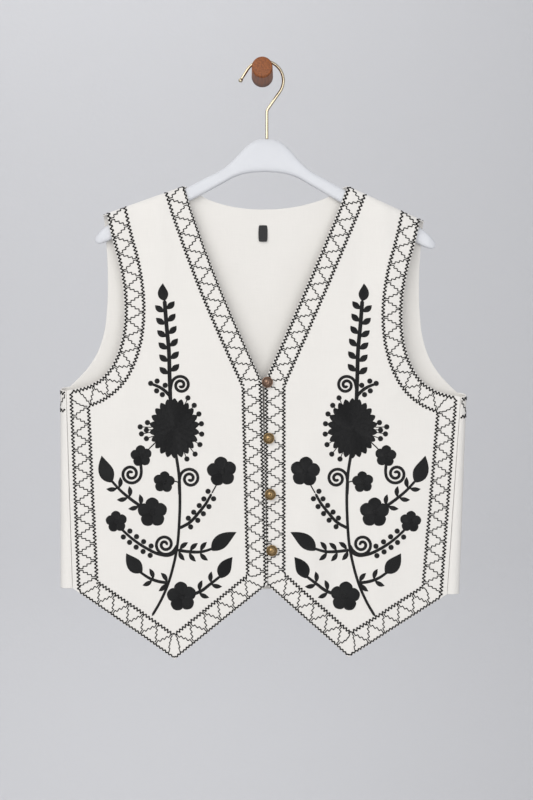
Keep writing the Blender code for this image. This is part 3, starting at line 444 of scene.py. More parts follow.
# %% [markdown]
# ## Edges of the cut
#
# The edges are worked out once, because the panels, the borders and the seams all follow them.

# %% Edge chains of the fronts and the back
def front_edges(side):
    """The front's edges in order from the neck point: neck, centre, both hems, side and armhole."""
    half = HALVES[side]
    share = np.linspace(0.0, 1.0, 60)
    neck_out = half["neck_out"] + (half["edge_top"] - half["neck_out"]) * share
    neck_out = neck_out + half["neck_bow"] * np.sin(math.pi * share)
    corner = (half["edge_top"], NECK_DROP)
    foot = (half["edge_bottom"], half["edge_hem"])
    point = (half["point_out"], half["point_drop"])
    side_foot = (half["fold_bottom"] - SEAM_INSET_BOTTOM - SEAM_GAP / 2, SIDE_HEM_DROP + half["sag"])
    underarm = (FOLD_OUT - SEAM_INSET_TOP - SEAM_GAP / 2, UNDERARM_DROP + half["sag"])
    tip = (SHOULDER_TIP[0], SHOULDER_TIP[1] + half["sag"])
    armhole = [tip, *((o, d + half["sag"]) for o, d in FRONT_ARMHOLE), underarm]
    return {
        "neck": np.stack([neck_out, NECK_DROP * share], axis=1),
        "centre": evenly([corner, foot], 60),
        "hem_inner": evenly([foot, point], 40),
        "hem_outer": evenly([point, side_foot], 40),
        "side": evenly([side_foot, underarm], 60),
        "armhole": smooth_path(armhole, 140)[::-1],
        "shoulder": evenly([tip, (half["neck_out"], 0.0)], 30),
    }


def seam_length(inset):
    """Cloth from the start of the side's turn to the seam: half a circle, less or more."""
    within = math.pi - math.asin(max(0.0, min(1.0, (FOLD_RADIUS - inset) / FOLD_RADIUS)))
    return FOLD_RADIUS * within + max(0.0, inset - FOLD_RADIUS) - SEAM_GAP / 2


def back_edges(side):
    """The back's top edge from the neck's centre to the side seam, in four chains."""
    half = HALVES[side]
    tip_out, tip_drop = SHOULDER_TIP
    out = np.linspace(0.0, half["neck_out"], 60)
    drop = BACK_NECK_DROP * (1.0 - (out / half["neck_out"]) ** BACK_NECK_POWER)
    neck = np.stack([out, drop - half["sag"] * ease(out / SAG_REACH)], axis=1)
    slope = (tip_drop + half["sag"]) / (tip_out - half["neck_out"])
    out = np.linspace(half["neck_out"], BACK_TIP_OUT, 30)
    ridge = slope * (out - half["neck_out"]) - half["sag"] * ease(out / SAG_REACH)
    shoulder = np.stack([out, ridge], axis=1)
    turn = (FOLD_OUT - FOLD_RADIUS, UNDERARM_DROP - WRAP_RISE)
    armhole = smooth_path([shoulder[-1], *BACK_ARMHOLE, turn], 140)
    length = np.linspace(turn[0], turn[0] + seam_length(SEAM_INSET_TOP), 40)
    wrap_drop = UNDERARM_DROP - WRAP_RISE * (1.0 - ease((length - turn[0]) / (length[-1] - turn[0])))
    return {"neck": neck, "shoulder": shoulder, "armhole": armhole,
            "wrap": np.stack([length, wrap_drop], axis=1)}


EDGES = {side: front_edges(side) for side in HALVES}

# %% [markdown]
# ## The three cloth panels
#
# Each panel is a thin shell: a fine grid on the cut, moved half the cloth's thickness both ways. The
# thickness goes to nothing near the edge in a quarter circle, so every cut edge is rounded
# like a turned and pressed hem. Columns run from the top edge down to the hem, closer at the sides.
# Along the machine stitching the cloth is drawn in a little, which makes the soft quilted look.

# %% Grids on the cut
HEM_ROUND = [0.0, 0.12, 0.35, 0.7, 1.1, 2.2]
NEAR_TOP = np.array([*HEM_ROUND, 4.5, 8.0])
NEAR_HEM = 4.5
EDGE_ROUND = 0.7

# How far out, at the hem, the columns lie that start at the neck's and the shoulder's ends.
FRONT_SPLIT = (56.0, 80.0)
BACK_SPLIT = (72.0, 110.0)


def column_places(chain, count, fine_start=(), fine_end=()):
    """Places along a chain for the grid's columns, at given distances from its ends, else even."""
    along = lengths(chain)
    first, last = (fine_start or [0.0])[-1], along[-1] - (fine_end or [0.0])[-1]
    wanted = np.concatenate(
        [list(fine_start)[:-1], np.linspace(first, last, count), along[-1] - np.array(fine_end[-2::-1])]
    )
    spots = np.stack([np.interp(wanted, along, chain[:, k]) for k in range(2)], axis=1)
    return spots, wanted / along[-1]


def hung_grid(top, hem, rows, bend):
    """Cut places of a panel: drop grows evenly down a column, out as a power of the share left."""
    length = np.linalg.norm(hem - top, axis=1)
    middle = 1 - (NEAR_TOP[-1] + NEAR_HEM) / length
    share = np.concatenate(
        [
            NEAR_TOP[:-1, None] / length,
            NEAR_TOP[-1] / length + np.linspace(0, 1, rows)[:, None] * middle,
            1 - np.array(HEM_ROUND[::-1])[:, None] / length,
        ]
    )
    out = hem[:, 0] + (top - hem)[:, 0] * (1 - share) ** bend
    return np.stack([out, top[:, 1] + (hem - top)[:, 1] * share], axis=-1)


def panel_grid(chains, hem, rows, bends):
    """The grid that hangs from a top edge of several chains, with a bend given at each of their ends."""
    top = np.concatenate([*(chain[:-1] for chain in chains[:-1]), chains[-1]])
    turns = np.cumsum([0, *(len(chain) - 1 for chain in chains)])
    return hung_grid(top, hem, rows, np.interp(np.arange(len(top)), turns, bends))


def distance_to(chain, places):
    """The distance from each place to a chain of straight steps."""
    start, step = chain[:-1], np.diff(chain, axis=0)
    flat = places.reshape(-1, 2)
    nearest = np.full(len(flat), 1e9)
    size = np.maximum((step**2).sum(1), 1e-12)
    for low in range(0, len(flat), 4000):
        away = flat[low : low + 4000, None] - start
        share = np.clip((away * step).sum(-1) / size, 0, 1)
        gap = np.linalg.norm(away - share[..., None] * step, axis=-1)
        nearest[low : low + 4000] = gap.min(1)
    return nearest.reshape(places.shape[:-1])


def front_cut(side):
    """The grid of a front, columns from the centre edge to the side seam."""
    half, edges = HALVES[side], EDGES[side]
    neck, n = column_places(edges["neck"][::-1], 34, fine_start=[0.0, 0.5, 1.3, 2.6, 4.5, 8.0])
    shoulder, s = column_places(edges["shoulder"][::-1], 26)
    armhole, a = column_places(edges["armhole"][::-1], 46, fine_end=HEM_ROUND)
    corner = half["fold_bottom"] - SEAM_INSET_BOTTOM - SEAM_GAP / 2
    low, high = FRONT_SPLIT
    out = np.concatenate(
        [
            half["edge_bottom"] + (low - half["edge_bottom"]) * n[:-1],
            low + (high - low) * s[:-1],
            high + (corner - high) * a**2,
        ]
    )
    out[np.argmin(np.abs(out - half["point_out"]))] = half["point_out"]
    spots = [half["edge_bottom"], half["point_out"], corner]
    drops = [half["edge_hem"], half["point_drop"], SIDE_HEM_DROP + half["sag"]]
    hem = np.stack([out, np.interp(out, spots, drops)], axis=1)
    return panel_grid([neck, shoulder, armhole], hem, 150, [1.0, 2.0, 3.0, 1.0])


def back_cut(side):
    """The grid of half of the back, columns from the neck's centre to the side seam."""
    half, edges = HALVES[side], back_edges(side)
    neck, n = column_places(edges["neck"], 26)
    shoulder, s = column_places(edges["shoulder"], 26)
    armhole, a = column_places(edges["armhole"], 40)
    wrap, w = column_places(edges["wrap"], 14, fine_end=HEM_ROUND)
    start = half["fold_bottom"] - FOLD_RADIUS
    seam = start + seam_length(SEAM_INSET_BOTTOM)
    low, high = BACK_SPLIT
    out = np.concatenate(
        [
            low * n[:-1],
            low + (high - low) * s[:-1],
            high + (start - high) * a[:-1] ** 2,
            start + (seam - start) * w,
        ]
    )
    hem = np.stack([out, BACK_HEM_DROP + (SIDE_HEM_DROP - BACK_HEM_DROP) * ease(out / start)], axis=1)
    return panel_grid([neck, shoulder, armhole, wrap], hem, 118, [1.0, 1.0, 3.0, 1.0, 1.0])


FRONT_CUT = {side: front_cut(side) for side in HALVES}
BACK_CUT = {side: back_cut(side) for side in HALVES}
for side in HALVES:
    print(side, "front grid", FRONT_CUT[side].shape[:2], "back grid", BACK_CUT[side].shape[:2])

# %% [markdown]
# The machine lines run parallel to the edges, mitred at every corner, as a sewer turns the cloth with
# the needle down. So each line is the edge moved inwards, and neighbours are cut where they cross.

# %% Lines of the border
ZIGZAG_INSET = 2.5
NARROW_INSET = 1.7
NARROW_SHARE = 0.62
NARROW_EDGES = {"left": ("neck", "hem_inner", "hem_outer"), "right": ("hem_inner", "hem_outer")}
BAND_WIDTH = 21.7
INSETS = {"outer": ZIGZAG_INSET, "inner": ZIGZAG_INSET + BAND_WIDTH}
SIDE_INSETS = {"outer": (7.8, 6.0), "inner": (30.7, 26.7)}
SEAM_CLEAR = 0.9
DRAWN_ON = 50.0


def moved_in(chain, start, end):
    """A chain moved to its inner side, by start at its first point and end at its last, and drawn on
    both ways. The inner side lies where the travel direction, turned a quarter back, points."""
    inward = -quarter(unit(np.gradient(chain, axis=0)))
    share = (lengths(chain) / lengths(chain)[-1])[:, None]
    line = chain + inward * (start + (end - start) * share)
    first = line[0] - unit(line[1] - line[0]) * DRAWN_ON
    last = line[-1] + unit(line[-1] - line[-2]) * DRAWN_ON
    return np.concatenate([first[None], line, last[None]])


def crossing(first, second):
    """Where two chains cross: the first one's step and the point, from testing each pair of steps."""
    a, b = first[:-1, None], second[None, :-1]
    da, db = np.diff(first, axis=0)[:, None], np.diff(second, axis=0)[None]
    cross = da[..., 0] * db[..., 1] - da[..., 1] * db[..., 0]
    cross = np.where(np.abs(cross) < 1e-12, 1e-12, cross)
    gap = b - a
    t = (gap[..., 0] * db[..., 1] - gap[..., 1] * db[..., 0]) / cross
    u = (gap[..., 0] * da[..., 1] - gap[..., 1] * da[..., 0]) / cross
    hits = np.argwhere((t >= 0) & (t <= 1) & (u >= 0) & (u <= 1))
    i, j = hits[len(hits) // 2]
    return i, first[i] + (first[i + 1] - first[i]) * t[i, j]


def mitred(lines, ends):
    """Chains cut at their crossings with the next one; ends are the lines that stop the two ends."""
    stops = [ends[0], *lines, ends[1]]
    cut = []
    for k, line in enumerate(lines, start=1):
        i, low = crossing(line, stops[k - 1])
        j, high = crossing(line, stops[k + 1])
        cut.append(np.concatenate([low[None], line[i + 1 : j + 1], high[None]]))
    return cut


def border_lines(side, which):
    """The outer or inner line of a front's border, as a chain for each edge from neck to armhole."""
    edges = EDGES[side]
    ridge = moved_in(edges["shoulder"], SEAM_CLEAR, SEAM_CLEAR)
    names = ["neck", "centre", "hem_inner", "hem_outer", "side", "armhole"]
    lines = []
    for name in names:
        narrow = which == "outer" and name in NARROW_EDGES[side]
        inset = NARROW_INSET if narrow else INSETS[which]
        start, end = SIDE_INSETS[which] if name == "side" else (inset, inset)
        lines.append(moved_in(edges[name], start, end))
    return dict(zip(names, mitred(lines, [ridge, ridge])))


def back_lines(side, which):
    """The outer or inner line of the back's armhole border, from the shoulder to the side seam."""
    edges = back_edges(side)
    inset = INSETS[which] + SEAM_CLEAR
    arm = np.concatenate([edges["armhole"], edges["wrap"][1:]])
    ridge = moved_in(edges["shoulder"][::-1], SEAM_CLEAR, SEAM_CLEAR)
    seam_top = edges["wrap"][-1]
    seam = np.stack([seam_top + [-SEAM_CLEAR, -60.0], seam_top + [-SEAM_CLEAR, 90.0]])
    return {"armhole": mitred([moved_in(arm, -inset, -inset)], [ridge, seam])[0]}


BORDER = {side: {which: border_lines(side, which) for which in INSETS} for side in HALVES}
BACK_BORDER = {side: {which: back_lines(side, which) for which in INSETS} for side in HALVES}
for side in HALVES:
    for which, lines in BORDER[side].items():
        print(side, which, "line", {k: round(lengths(v)[-1]) for k, v in lines.items()})

# %% [markdown]
# ## Materials
#
# Every finish is built from procedural nodes, so it needs no picture and stays sharp from any
# distance. A pattern that several materials share, such as the weave or the twist of a thread, is a
# node group that only gives numbers: a shade to multiply the colour with, and a height for Bump.
# The cut's own UV, in metres, drives them, so the weave runs with the cloth however it bends.

# %% Small helpers for nodes
def node(tree, kind, values=None, **settings):
    """A node with its settings; values are sockets to link in or constants to set, by input name."""
    made = tree.nodes.new(kind)
    for key, value in settings.items():
        setattr(made, key, value)
    for key, value in (values or {}).items():
        if isinstance(value, bpy.types.NodeSocket):
            tree.links.new(value, made.inputs[key])
        else:
            made.inputs[key].default_value = value
    return made


def calc(tree, operation, a, b=0.0, c=0.0):
    """The output of a Math node."""
    return node(tree, "ShaderNodeMath", {0: a, 1: b, 2: c}, operation=operation).outputs[0]


def noise(tree, vector, scale, stretch=(1, 1, 1), detail=2.0):
    """Noise over a stretched copy of a vector, about 0.5."""
    spread = node(tree, "ShaderNodeMapping", {"Vector": vector, "Scale": stretch})
    values = {"Vector": spread.outputs[0], "Scale": scale, "Detail": detail}
    return node(tree, "ShaderNodeTexNoise", values).outputs["Fac"]


def new_group(name, inputs, outputs):
    """An empty node group with float inputs and outputs, and a vector input called Place."""
    tree = bpy.data.node_groups.new(name, "ShaderNodeTree")
    tree.interface.new_socket("Place", in_out="INPUT", socket_type="NodeSocketVector")
    for key, value in inputs.items():
        socket = tree.interface.new_socket(key, in_out="INPUT", socket_type="NodeSocketFloat")
        socket.default_value = value
    for key in outputs:
        tree.interface.new_socket(key, in_out="OUTPUT", socket_type="NodeSocketFloat")
    return tree, tree.nodes.new("NodeGroupInput").outputs, tree.nodes.new("NodeGroupOutput").inputs


def link_all(tree, wanted, **values):
    """Links sockets to a group's outputs by name."""
    for key, value in values.items():
        tree.links.new(value, wanted[key])


def new_material(name, colour, roughness, group, place, bump, shade=None, **constants):
    """A Principled material whose colour is multiplied by a group's Shade and bumped by its Height.

    colour is one colour, or a light and a dark one that Shade mixes. place is "UV" or "Object", bump
    the height's scale in metres, shade holds values for the group's inputs, and constants are the
    shader's values by name, with spaces as underscores.
    """
    made = bpy.data.materials.new(name)
    made.use_nodes = True
    tree = made.node_tree
    shader = tree.nodes["Principled BSDF"]
    shader.inputs["Roughness"].default_value = roughness
    for key, value in constants.items():
        shader.inputs[key.replace("_", " ")].default_value = value
    where = node(tree, "ShaderNodeTexCoord").outputs[place]
    effect = node(tree, "ShaderNodeGroup", node_tree=group)
    tree.links.new(where, effect.inputs["Place"])
    light, dark = colour if isinstance(colour[0], tuple) else (colour, tuple(0.0 for _ in colour))
    mix = node(tree, "ShaderNodeMix", {0: effect.outputs["Shade"]}, data_type="RGBA")
    mix.inputs[6].default_value = (*dark, 1.0)
    mix.inputs[7].default_value = (*light, 1.0)
    tree.links.new(mix.outputs[2], shader.inputs["Base Color"])
    relief = node(tree, "ShaderNodeBump", {"Height": effect.outputs["Height"], "Strength": 1.0})
    relief.inputs["Distance"].default_value = bump
    tree.links.new(relief.outputs[0], shader.inputs["Normal"])
    if "Gloss" in effect.outputs:
        rough = calc(tree, "MULTIPLY", effect.outputs["Gloss"], roughness)
        tree.links.new(rough, shader.inputs["Roughness"])
    for key, value in (shade or {}).items():
        effect.inputs[key].default_value = value
    print("material", name)
    return made


# %% [markdown]
# Plain-woven cotton: warp and weft pass over each other like a chessboard of tiny cushions, some
# threads are thicker than others, and washing leaves faint long streaks. A hanging garment needs no
# more colour than that; the folds and the light do the rest.

# %% Cotton
def weave_group():
    """Height: the product of two sines at the thread pitch. Shade: streaks both ways, and a wide
    soft unevenness."""
    inputs = {"Threads": 8000.0, "Streaks": 0.05}
    tree, given, wanted = new_group("plain_weave", inputs, ["Shade", "Height"])
    split = node(tree, "ShaderNodeSeparateXYZ", {0: given["Place"]})
    across = calc(tree, "SINE", calc(tree, "MULTIPLY", split.outputs[0], given["Threads"]))
    down = calc(tree, "SINE", calc(tree, "MULTIPLY", split.outputs[1], given["Threads"]))
    warp = noise(tree, given["Place"], 1.0, (1500, 45, 1))
    weft = noise(tree, given["Place"], 1.0, (45, 1500, 1))
    wide = noise(tree, given["Place"], 14.0)
    streak = calc(tree, "SUBTRACT", calc(tree, "ADD", warp, weft), 1.0)
    shade = calc(tree, "MULTIPLY_ADD", streak, given["Streaks"], 0.94)
    bumps = calc(tree, "MULTIPLY", across, down)
    link_all(tree, wanted, Shade=calc(tree, "MULTIPLY_ADD", wide, 0.05, shade),
             Height=calc(tree, "MULTIPLY_ADD", streak, 1.2, bumps))
    return tree


WEAVE = weave_group()
COTTON = new_material("cotton", (0.735, 0.713, 0.677), 0.92, WEAVE, "UV", 0.00005,
                      Sheen_Weight=0.12, Sheen_Roughness=0.6, Specular_IOR_Level=0.25)

# %% [markdown]
# Embroidery thread has a soft lustre: the stitches lie side by side, so light slides along them. The
# group draws the stitch ridges across the length of each shape, paints light on their crests and
# shade in the grooves between them, and lets single threads differ.

# %% Threads
def stitch_group():
    """Height: a sine along the shape's length with a slant and a wander. Shade: single threads, and
    painted light and shade from the same sine, lighter on the ridges and darker in the grooves.
    """
    tree, given, wanted = new_group(
        "stitches", {"Stitches": 15000.0, "Slant": 0.5, "Contrast": 0.6}, ["Shade", "Height", "Gloss"]
    )
    split = node(tree, "ShaderNodeSeparateXYZ", {0: given["Place"]})
    slanted = calc(tree, "MULTIPLY_ADD", split.outputs[1], given["Slant"], split.outputs[0])
    loose = calc(tree, "MULTIPLY", noise(tree, given["Place"], 900.0), 2.5)
    ridge = calc(tree, "SINE", calc(tree, "MULTIPLY_ADD", slanted, given["Stitches"], loose))
    single = noise(tree, given["Place"], 1.0, (3500, 200, 1))
    # Painted light and shade: the ridge's sine also goes into the colour, so crests are lighter and grooves
    # darker.
    shade = calc(tree, "MULTIPLY_ADD", calc(tree, "ADD", ridge, single), given["Contrast"], 0.1)
    link_all(tree, wanted, Shade=calc(tree, "MAXIMUM", shade, 0.0),
             Height=calc(tree, "MULTIPLY_ADD", single, 0.6, ridge),
             Gloss=calc(tree, "MULTIPLY_ADD", single, 0.3, 0.85))
    return tree


STITCH = stitch_group()
# Each thread's dark colour is also its painted shade in the stitch grooves.
SATIN = new_material("satin_thread", ((0.014, 0.014, 0.0145), (0.004, 0.004, 0.004)), 0.5, STITCH, "UV",
                     0.00009, Specular_IOR_Level=0.32, Sheen_Weight=0.03, Sheen_Roughness=0.4)
MACHINE = new_material("machine_thread", ((0.016, 0.0155, 0.0155), (0.005, 0.005, 0.005)), 0.7, STITCH,
                       "UV", 0.00006, {"Stitches": 9000.0, "Slant": 1.5}, Specular_IOR_Level=0.2)
CORD = new_material("loop_cord", ((0.80, 0.77, 0.71), (0.42, 0.38, 0.33)), 0.85, STITCH, "UV", 0.00006,
                    {"Stitches": 7000.0, "Slant": 1.0}, Sheen_Weight=0.2)
TAPE = new_material("woven_tape", ((0.03, 0.03, 0.032), (0.012, 0.012, 0.012)), 0.75, STITCH, "UV",
                    0.00006, {"Stitches": 12000.0, "Slant": 0.0}, Sheen_Weight=0.1)

# %% [markdown]
# The hardware: painted and bent metal or wood. Paint shows faint brush waves. Antique metal is darker
# in its grooves and bright where fingers rub it, so its colour follows a mask that the mesh carries.
# The peg shows year rings on its end and long pores on its side, both from the distance to a pith
# line that runs a little off its middle.

# %% Paint, metal and wood
def brushed_group():
    """Shade near 1 with faint clouds, and a low uneven height."""
    tree, given, wanted = new_group("brushed", {"Clouds": 0.06}, ["Shade", "Height", "Gloss"])
    cloud = noise(tree, given["Place"], 60.0)
    fine = noise(tree, given["Place"], 1.0, (180, 500, 900), 4.0)
    link_all(tree, wanted, Shade=calc(tree, "MULTIPLY_ADD", cloud, given["Clouds"], 0.95),
             Height=calc(tree, "ADD", cloud, fine), Gloss=calc(tree, "MULTIPLY_ADD", fine, 0.5, 0.75))
    return tree


def patina_group():
    """Shade from the mesh's wear mask, broken up by noise; Gloss is rougher where it is dark."""
    tree, given, wanted = new_group("patina", {}, ["Shade", "Height", "Gloss"])
    worn = node(tree, "ShaderNodeAttribute", attribute_name="wear").outputs["Fac"]
    spots = noise(tree, given["Place"], 700.0, detail=5.0)
    mixed = calc(tree, "ADD", worn, calc(tree, "MULTIPLY_ADD", spots, 0.5, -0.25))
    level = node(tree, "ShaderNodeClamp", {0: mixed}).outputs[0]
    rough = calc(tree, "MULTIPLY_ADD", level, -0.5, 1.3)
    link_all(tree, wanted, Shade=level, Height=spots, Gloss=rough)
    return tree


def wood_group():
    """Rings: a sine of the distance to the pith. Pores: noise drawn out along the peg. The colour
    darkens towards the wall as painted shade, the shadow under the peg near its foot."""
    tree, given, wanted = new_group("peg_wood", {"Rings": 1500.0}, ["Shade", "Height", "Gloss"])
    warp = noise(tree, given["Place"], 60.0, (1, 0.25, 1))
    pith = {"Vector": given["Place"], "Location": (0.019, 0, 0.012), "Scale": (1, 0, 1)}
    moved = node(tree, "ShaderNodeMapping", pith)
    away = node(tree, "ShaderNodeVectorMath", {0: moved.outputs[0]}, operation="LENGTH").outputs["Value"]
    phase = calc(tree, "MULTIPLY_ADD", warp, 6.0, calc(tree, "MULTIPLY", away, given["Rings"]))
    ring = calc(tree, "MULTIPLY_ADD", calc(tree, "SINE", phase), 0.5, 0.5)
    pores = noise(tree, given["Place"], 1.0, (620, 30, 620), 4.0)
    tone = calc(tree, "MULTIPLY_ADD", ring, 0.16, calc(tree, "MULTIPLY_ADD", pores, 1.7, -0.3))
    split = node(tree, "ShaderNodeSeparateXYZ", {0: given["Place"]})
    # Painted shade: the colour darkens over the last 25 mm towards the wall, where the peg meets it.
    painted_wall_shade = node(tree, "ShaderNodeClamp", {0: calc(tree, "MULTIPLY_ADD", split.outputs[1], -38.0, 0.05)})
    link_all(tree, wanted, Shade=calc(tree, "MULTIPLY", tone, painted_wall_shade.outputs[0]),
             Height=calc(tree, "MULTIPLY_ADD", ring, 0.3, pores),
             Gloss=calc(tree, "MULTIPLY_ADD", pores, 0.5, 0.75))
    return tree


BRUSHED, PATINA, WOOD = brushed_group(), patina_group(), wood_group()
PAINT = new_material("hanger_paint", (0.585, 0.595, 0.62), 0.45, BRUSHED, "Object", 0.00008,
                     Coat_Weight=0.15, Coat_Roughness=0.3)
GOLD = new_material("pale_gold", (0.55, 0.475, 0.34), 0.2, BRUSHED, "Object", 0.00002, Metallic=1.0)
COPPER = new_material("aged_copper", ((0.33, 0.21, 0.15), (0.03, 0.018, 0.014)), 0.36, PATINA, "Object",
                      0.00005, Metallic=1.0)
BRASS = new_material("aged_brass", ((0.41, 0.275, 0.13), (0.03, 0.021, 0.012)), 0.36, PATINA, "Object",
                     0.00005, Metallic=1.0)
# The dark wood colour serves both the grain and the painted shade near the wall.
PEG_WOOD = new_material("oiled_wood", ((0.30, 0.095, 0.027), (0.075, 0.02, 0.006)), 0.5, WOOD, "Object",
                        0.00012, Specular_IOR_Level=0.3)

# %% [markdown]
# Now the panels themselves: both fronts and the back, each in one piece, as they are cut.

# %% The cloth shells
PUCKER_DEPTH = 0.22
PUCKER_REACH = 2.4


def drawn_in(places, lines):
    """How deep the stitching pulls the cloth in: a bell across each line, uneven along it."""
    total = np.zeros(places.shape[:-1])
    for line in lines:
        near = distance_to(line, places)
        gathers = 1.0 + 0.8 * wander(places[..., 0], places[..., 1], 7.0, 29)
        total = total + PUCKER_DEPTH * np.exp(-((near / PUCKER_REACH) ** 2)) * gathers
    return total


def add_panel(name, halves, outline, node_name):
    """A closed shell from (panel, side, grid, lines) halves that share their first column.

    Both skins move half a wall out, times sqrt(1 - (1 - d)^2) where d is the distance to the edge as
    a share of EDGE_ROUND, at most 1. The last ring of points belongs to both, which closes the rim.
    """
    outer, inner, cuts = [], [], []
    for panel, side, grid, lines in halves:
        _, facing = on_cloth(panel, side, grid[..., 0], grid[..., 1], np.zeros(grid.shape[:2]))
        middle = PLACE[panel](side, grid[..., 0], grid[..., 1])
        middle = middle - facing * drawn_in(grid, lines)[..., None]
        near = np.minimum(distance_to(outline[side], grid) / EDGE_ROUND, 1.0)
        half = CLOTH / 2 * np.sqrt(1 - (1 - near) ** 2)[..., None]
        layers = [middle + facing * half, middle - facing * half]
        cut = grid * [HALVES[side]["sign"], 1.0]
        if HALVES[side]["sign"] < 0:
            layers, cut = [layer[:, ::-1] for layer in layers], cut[:, ::-1]
        outer.append(layers[0])
        inner.append(layers[1])
        cuts.append(cut)
    if len(halves) == 2:
        outer, inner, cuts = ([a[0][:, :-1], a[1]] for a in (outer, inner, cuts))
    outer, inner, cut = (np.concatenate(a, axis=1) for a in (outer, inner, cuts))
    rows, columns = cut.shape[:2]
    quads, _ = grid_quads(rows, columns)
    rim = np.ones((rows, columns), bool)
    rim[1:-1, 1:-1] = False
    rim = rim.ravel()
    number = np.arange(rows * columns)
    number[~rim] = rows * columns + np.arange(int((~rim).sum()))
    points = np.concatenate([outer.reshape(-1, 3), inner.reshape(-1, 3)[~rim]])
    if halves[0][0] == "front":
        quads = quads[:, ::-1]
    skins = [quads, number[quads][:, ::-1]]
    flat = cut.reshape(-1, 2)
    uv = [flat[quads], flat[quads][:, ::-1]]
    made = make_piece(name, points, np.concatenate(skins), np.concatenate(uv), COTTON)
    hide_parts(node_name)
    return made


FRONT_OUTLINE = {side: np.concatenate(list(EDGES[side].values())) for side in HALVES}
BACK_OUTLINE = {side: np.concatenate([*back_edges(side).values(), BACK_CUT[side][:, -1],
                                      BACK_CUT[side][-1, ::-1]]) for side in HALVES}
for side in HALVES:
    lines = [np.concatenate(list(BORDER[side][which].values())) for which in INSETS]
    halves = [("front", side, FRONT_CUT[side], lines)]
    add_panel(f"cloth_front_{side}", halves, FRONT_OUTLINE, f"front_{side}")
halves = [("back", side, BACK_CUT[side], [BACK_BORDER[side][which]["armhole"] for which in INSETS])
          for side in HALVES]
add_panel("cloth_back", halves, BACK_OUTLINE, "back")

# %% [markdown]
# ## Stitches and satin pads
#
# One stitch is a short length of thread that dips into the cloth at both ends, and a satin-stitched
# leaf is many of them over a little padding, which together look like a low cushion. Both are the same
# form: a path on the cut, a half width along it, and a crown that rises from the cloth. So one helper
# makes them all, thousands at a time, and lays them on the hanging cloth.

# %% Sewn forms
SUNK = 0.35


def sewn(panel, side, paths, half, height, sides=8, lift=0.0, vein=0.0):
    """Closed forms on a panel, from paths (form, point, 2) on the cut.

    A cross section at half width w and height h runs through w cos(t) across and h sin(t) up, where
    the lower half goes only SUNK deep and vein cuts a groove along the crown. The first and last
    points of a path are its ends, and half and height are given for the points between.
    """
    paths = np.asarray(paths, float)
    forms, count = paths.shape[0], paths.shape[1] - 2
    half = np.broadcast_to(half, (forms, count))
    height = np.broadcast_to(height, (forms, count))
    lift = np.broadcast_to(lift, (forms, 1))
    along = unit(paths[:, 2:] - paths[:, :-2])
    across = quarter(along)
    cosine, sine = np.cos(round_turn(sides)), np.sin(round_turn(sides))
    crown = np.where(sine > 0, sine * (1 - vein * np.exp(-((cosine / 0.2) ** 2))), 0.0)
    flat = paths[:, 1:-1, None] + across[:, :, None] * (half[..., None] * cosine)[..., None]
    up = height[..., None] * crown + (lift[..., None] + SUNK) * np.minimum(sine, 0) + lift[..., None]
    run = np.linalg.norm(np.diff(paths, axis=1), axis=-1).cumsum(1)
    run = np.concatenate([np.zeros((forms, 1)), run], axis=1)
    uv = np.zeros((forms, count + 2, sides + 1, 2))
    uv[..., 0] = run[:, :, None]
    uv[:, 1:-1, :, 1] = half[..., None] * np.cos(2 * math.pi * np.arange(sides + 1) / sides)
    if way_round(panel, side) < 0:
        flat, up, uv = flat[:, :, ::-1], up[:, :, ::-1], uv[:, :, ::-1]
    rings, _ = on_cloth(panel, side, flat[..., 0], flat[..., 1], up)
    ends = paths[:, [0, -1]]
    caps, _ = on_cloth(panel, side, ends[..., 0], ends[..., 1], np.full((forms, 2), -0.1) + lift * 0.5)
    return lofts(rings, caps[:, 0], caps[:, 1], uv)


def spot(chain, shares):
    """Places at the given shares of a chain's length."""
    along = lengths(chain)
    return np.stack([np.interp(shares * along[-1], along, chain[:, k]) for k in range(2)], axis=-1)


def oval(count):
    """Shares of count points along an oval form, closer at its ends, and its half width there."""
    turn = np.linspace(0, math.pi, count)
    return (1 - np.cos(turn)) / 2, np.sin(turn)


# %% [markdown]
# The zigzag lines are two rows of dense black knots with a thinner thread slanting between them,
# because the needle stays longer at the turning points. The wide wave between them climbs in steps
# from one zigzag to the other, as a sewing machine's fancy stitch does.

# %% Zigzags and the stepped wave
ZIGZAG_PERIOD = 4.65
ZIGZAG_REACH = 1.3
KNOT_LENGTH = 1.35
WAVE_PERIOD = 21.7
TIP_GAP = 2.2
STEP_ROUND = 0.06


def zigzag(panel, side, line, share_of_width=1.0):
    """Knots at the turning points of a zigzag about a line, and the thread from one to the next."""
    reach = ZIGZAG_REACH * share_of_width
    count = max(2, round(2 * lengths(line)[-1] / ZIGZAG_PERIOD))
    share = (np.arange(count) + 0.5) / count
    middle = spot(line, share)
    along = unit(spot(line, np.minimum(share + 0.002, 1)) - spot(line, np.maximum(share - 0.002, 0)))
    across = quarter(along)
    dice = np.random.default_rng(count)
    uneven = dice.normal(0, 0.1, (count, 2))
    turning = middle + across * (reach * np.where(np.arange(count) % 2, 1, -1))[:, None] + uneven
    steps, width = oval(5)
    knots = turning[:, None] + along[:, None] * ((steps - 0.5) * 2 * KNOT_LENGTH)[None, :, None]
    full = dice.uniform(0.9, 1.1, (count, 1)) * share_of_width**0.5
    dots = sewn(panel, side, knots, 1.2 * full * width[1:-1], 0.85 * full * width[1:-1], sides=6)
    path = turning[:-1, None] * (1 - steps[:, None]) + turning[1:, None] * steps[:, None]
    thread = sewn(panel, side, path, 0.85 * width[1:-1] ** 0.4, 0.6 * width[1:-1] ** 0.4, sides=6)
    return [dots, thread]


def nearest_on(chain, places):
    """The point of a finely divided chain that is nearest to each place."""
    fine = evenly(chain, 1200)
    flat = places.reshape(-1, 2)
    away = np.linalg.norm(flat[:, None] - fine, axis=-1)
    return fine[away.argmin(1)].reshape(places.shape)


